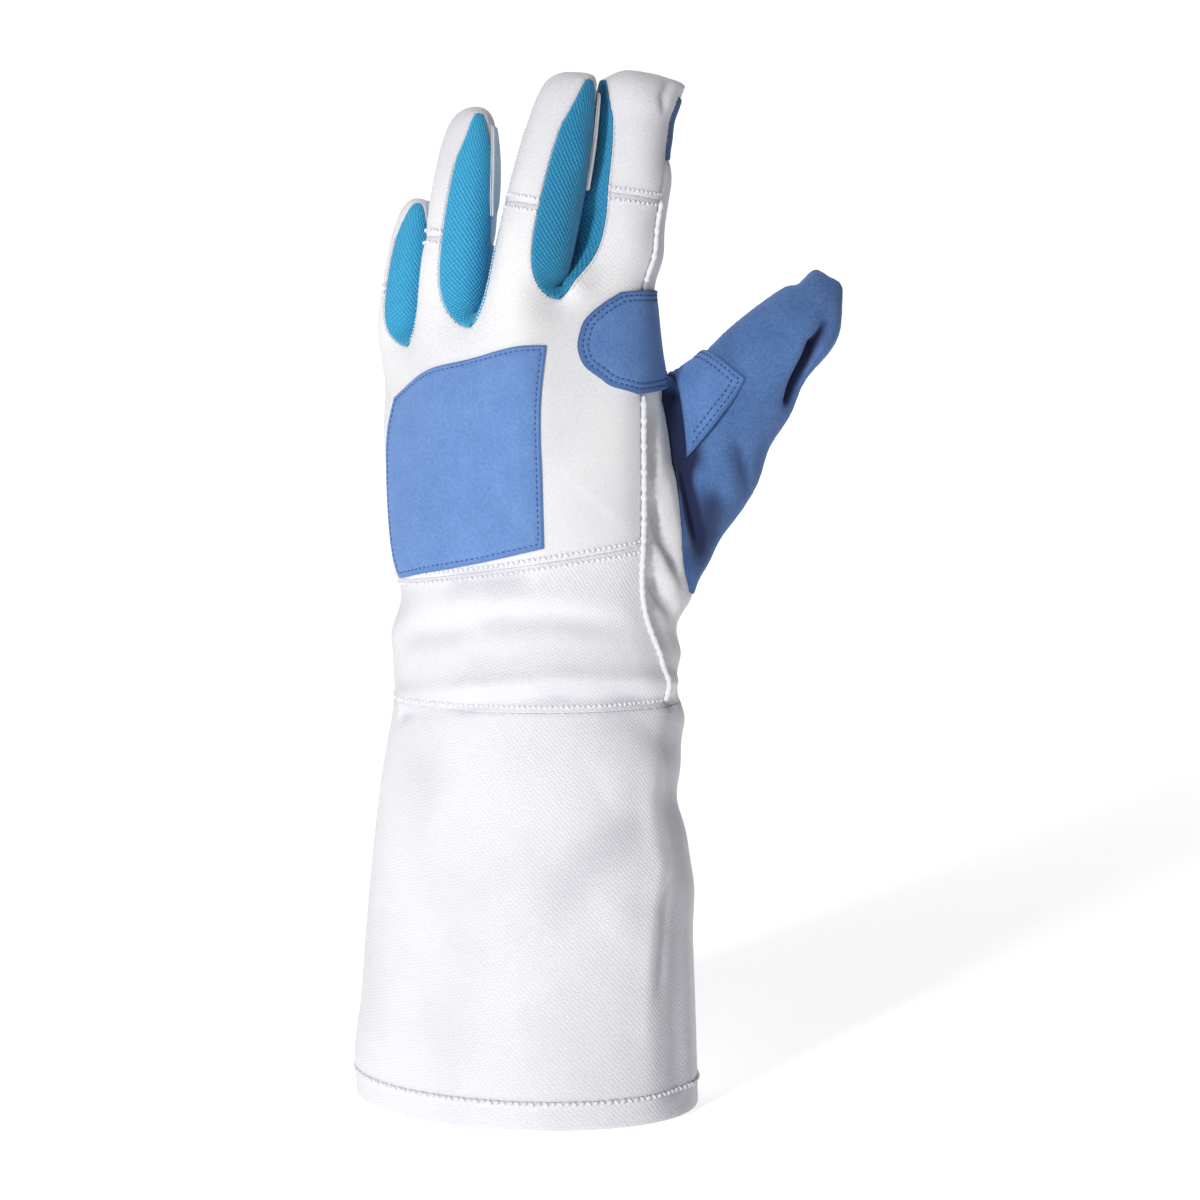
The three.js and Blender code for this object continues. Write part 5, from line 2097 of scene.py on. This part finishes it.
@dataclass
class Cuff(Part):
    """The hem band, the long cuff and the wrist."""

    zigzag: tuple[float, float, float] = (2.0, 1.8, 1.05)
    hem_size: float = 1.3

    def build(self) -> None:
        """Makes the cuff's pieces."""
        for name in ("hem_band", "cuff", "wrist_panel"):
            self.panel(name, self.canvas, Finish.CANVAS, Slot.CANVAS)
        pitch, length, width = self.zigzag
        rows = []
        for start, end, row in ((0, 20, 0.97), (0.1, 16.9, 8.08), (0.1, 16.9, 7.92), (0.2, 17.9, 5.12)):
            path = tuple((float(u), row) for u in np.linspace(start, end, 60))
            size = self.hem_size if row < 1 else 1
            rows.append(Seam("sleeve", path, Row.ZIGZAG, pitch * size, length * size, width * size, 0.15))
        self.seams("cuff_stitches", rows)


@dataclass
class Hand(Part):
    """The palm, the padded back and side, and what is sewn on them."""

    back_patch: Patch = Patch(
        "back_patch",
        "sleeve",
        (
            Level(2.68, 8.22, 7.62, 8.03),
            Level(2.65, 9, 7.85, 9),
            Level(2.56, 10.05, 7.4, 9.95),
            Level(2.31, 11.19, 6.75, 11.02),
        ),
        rows=((1.9, 0, 360),),
        crown=0.5,
        arch=0.28,
    )
    index_tab: Patch = Patch(
        "index_tab",
        "sleeve",
        (
            Level(18, 10.0, 20.2, 10.02),
            Level(18, 10.12, 20.95, 10.18),
            Level(18, 10.35, 21.27, 10.37),
            Level(18, 10.65, 21.58, 10.65),
            Level(18, 11.0, 21.7, 11.0),
            Level(18, 11.35, 21.65, 11.32),
            Level(18, 11.62, 21.54, 11.56),
            Level(18, 11.84, 21.27, 11.78),
            Level(18, 11.98, 20.9, 11.96),
        ),
        rows=((1.8, -130, 130), (3.7, -130, 130)),
        crown=0.4,
    )

    def build(self) -> None:
        """Makes the hand's pieces."""
        # painted shade: the palm takes a darker copy of the suede
        self.panel("palm_panel", self.suede, Finish.DEEP_SUEDE, Slot.SUEDE)
        self.pad("back_panel", 0.7)
        self.pad("side_panel", 0.5)
        self.shop.patch(self.back_patch, Finish.SUEDE, Slot.SUEDE, Finish.BLUE_THREAD)
        # painted shade: the tab takes a half-dark copy of the suede
        self.shop.patch(self.index_tab, Finish.MID_SUEDE, Slot.SUEDE, Finish.DARK_THREAD)
        path = tuple((0.0, float(v)) for v in np.linspace(5.1, 9.99, 30))
        self.shop.tube("side_welt", Seam("sleeve", path, lift=0.5), 1.15, Finish.TAPE, Slot.TRIM)


@dataclass
class Fingers(Part):
    """The finger tips, the gussets between the fingers, and their bindings."""

    binding: tuple[Level, ...] = (
        Level(3.15, 2.4, 2.85, 2.4),
        Level(3.4, 2.7, 2.75, 2.7),
        Level(3.45, 3.2, 2.75, 3.2),
        Level(3.35, 3.95, 2.8, 3.95),
    )

    def build(self) -> None:
        """Makes the fingers' pieces."""
        for name in FINGER_NAMES:
            self.pad(f"{name}_tip_panel", 0.8)
        for first, second in zip(FINGER_NAMES, FINGER_NAMES[1:]):
            # painted shade: the gusset between the index and the middle finger takes a darker copy of the
            # knit
            finish = Finish.DEEP_KNIT if first == FINGER_NAMES[0] else Finish.KNIT
            self.panel(f"gusset_{first}_{second}", self.knit, finish, Slot.KNIT)
        for name in ("middle", "ring"):
            binding = Patch(f"{name}_binding", name, self.binding, 1.0, 0.15, (14, 60))
            self.shop.patch(binding, Finish.TAPE, Slot.TRIM, Finish.WHITE_THREAD)
        path = tuple((1.0, float(v)) for v in np.linspace(0.2, 2, 12))
        self.shop.tube("index_welt", Seam("index", path, lift=0.4), 1.05, Finish.TAPE, Slot.TRIM)
        rows = []
        for name in FINGER_NAMES:
            for row in (1.91, 2.09):
                path = tuple((float(u), row) for u in np.linspace(-0.92, 0.92, 10))
                rows.append(Seam(name, path, Row.ZIGZAG, 1.7, 1.7, 0.95, 0.1))
        edges = [(name, 7.07) for name in FINGER_NAMES[:-1]]
        edges += [(name, 0.93) for name in FINGER_NAMES[1:]]
        for name, column in edges:
            path = tuple((column, float(v)) for v in np.linspace(0.15, 3.1, 40))
            rows.append(Seam(name, path, Row.ZIGZAG, 1.25, 1.15, 0.5, -0.1))
        self.seams("finger_stitches", rows)


@dataclass
class Thumb(Part):
    """The two halves of the thumb and its patch."""

    patch: Patch = Patch(
        "thumb_patch",
        "thumb",
        (
            Level(2.1, 0.3, -1, 0.6),
            Level(2.12, 0.75, -1, 0.78),
            Level(2.15, 1.25, -1, 0.96),
            Level(2.19, 1.66, -1, 1.1),
            Level(2.14, 2.0, -1, 1.22),
        ),
        rows=((1.8, 62, 215), (4.0, 62, 215)),
        crown=0.3,
        curl=1.5,
    )

    def build(self) -> None:
        """Makes the thumb's pieces."""
        for name in ("thumb_back", "thumb_palm"):
            # painted shade: both halves take a darker copy of the suede
            self.panel(name, self.suede, Finish.DEEP_SUEDE, Slot.SUEDE)
        # painted shade: the thumb's patch takes a half-dark copy of the suede
        self.shop.patch(self.patch, Finish.MID_SUEDE, Slot.SUEDE, Finish.DARK_THREAD)


@dataclass
class Studio:
    """The floor, the lights and the camera."""

    sight: Sight
    sweep: float = 3.0
    bend: float = 1.0
    glow: float = 0.5

    def build(self) -> None:
        """Makes the studio."""
        self.camera()
        self.backdrop()
        self.light("key", (-0.95, -1.65, 0.8), 0.26, 28.5, (1.0, 0.99, 0.98))
        self.light("floor", (0.1, 0.8, 1.9), 1.6, 6, (1.0, 1.0, 1.0), (0.1, 0.4, 0.0))
        self.light("wall", (0.0, 0.5, 2.6), 1.6, 10, (1.0, 1.0, 1.0), (0.0, 2.2, 0.8))
        world = bpy.data.worlds.new("studio")
        world.use_nodes = True
        world.node_tree.nodes["Background"].inputs["Color"].default_value = (0.95, 0.97, 1.0, 1.0)
        world.node_tree.nodes["Background"].inputs["Strength"].default_value = 0.03
        bpy.context.scene.world = world
        bpy.context.scene.view_settings.view_transform = "Standard"

    def camera(self) -> None:
        """Makes the camera."""
        lens = bpy.data.cameras.new("camera")
        lens.sensor_fit = "AUTO"
        lens.angle = math.radians(self.sight.angle)
        holder = link("camera", lens)
        holder.location = self.sight.place
        ahead = self.sight.target - self.sight.place
        holder.rotation_euler = ahead.to_track_quat("-Z", "Y").to_euler()
        bpy.context.scene.camera = holder

    def backdrop(self) -> None:
        """Makes the pale floor, which bends up into a wall behind."""
        turns = np.radians(np.linspace(0, 90, 13))
        line = [(-self.sweep, 0.0)]
        line += [(1.2 + self.bend * math.sin(t), self.bend * (1 - math.cos(t))) for t in turns]
        line.append((1.2 + self.bend, self.sweep))
        points = [(x, y, z - 0.0005) for x in (-self.sweep, self.sweep) for y, z in line]
        count = len(line)
        faces = [(k, k + count, k + count + 1, k + 1) for k in range(count - 1)]
        floor = make_object("floor", np.array(points) / MM, faces)
        shader = Shader("paper")
        grain = shader.noise(shader.place(), 400.0, 2.0)
        colour = shader.blend(grain, (0.93, 0.93, 0.94), (0.95, 0.95, 0.955))
        glow = {"Emission_Color": (1.0, 1.0, 1.0, 1.0), "Emission_Strength": self.glow}
        paper = shader.finish(grain, 0.05, 0.2, Base_Color=colour, Roughness=0.9, **glow)
        floor.data.materials.append(paper)

    @staticmethod
    def light(
        name: str, place: Point, size: float, power: float, colour: Colour, target: Point = (0.0, 0.0, 0.2)
    ) -> None:
        """Makes a square light.

        Args:
            name: Its name.
            place: Where it stands, in metres.
            size: Its side, in metres.
            power: Its power, in watts.
            colour: Its colour.
            target: What it faces, in metres.
        """
        lamp = bpy.data.lights.new(name, "AREA")
        lamp.size = size
        lamp.energy = power
        lamp.color = colour
        holder = link(name, lamp)
        holder.location = place
        ahead = Vector(target) - Vector(place)
        holder.rotation_euler = ahead.to_track_quat("-Z", "Y").to_euler()


def main() -> None:
    """Builds the studio and the glove."""
    logging.basicConfig(level=logging.INFO, format="%(name)s: %(message)s")
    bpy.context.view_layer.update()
    sight = Sight()
    Studio(sight).build()
    shop = Workshop(Skin(Pattern().build(), sight), StitchNodes())
    for part in (Cuff(shop), Hand(shop), Fingers(shop), Thumb(shop)):
        LOG.info("making the %s", type(part).__name__.lower())
        part.build()


if __name__ == "__main__":
    main()
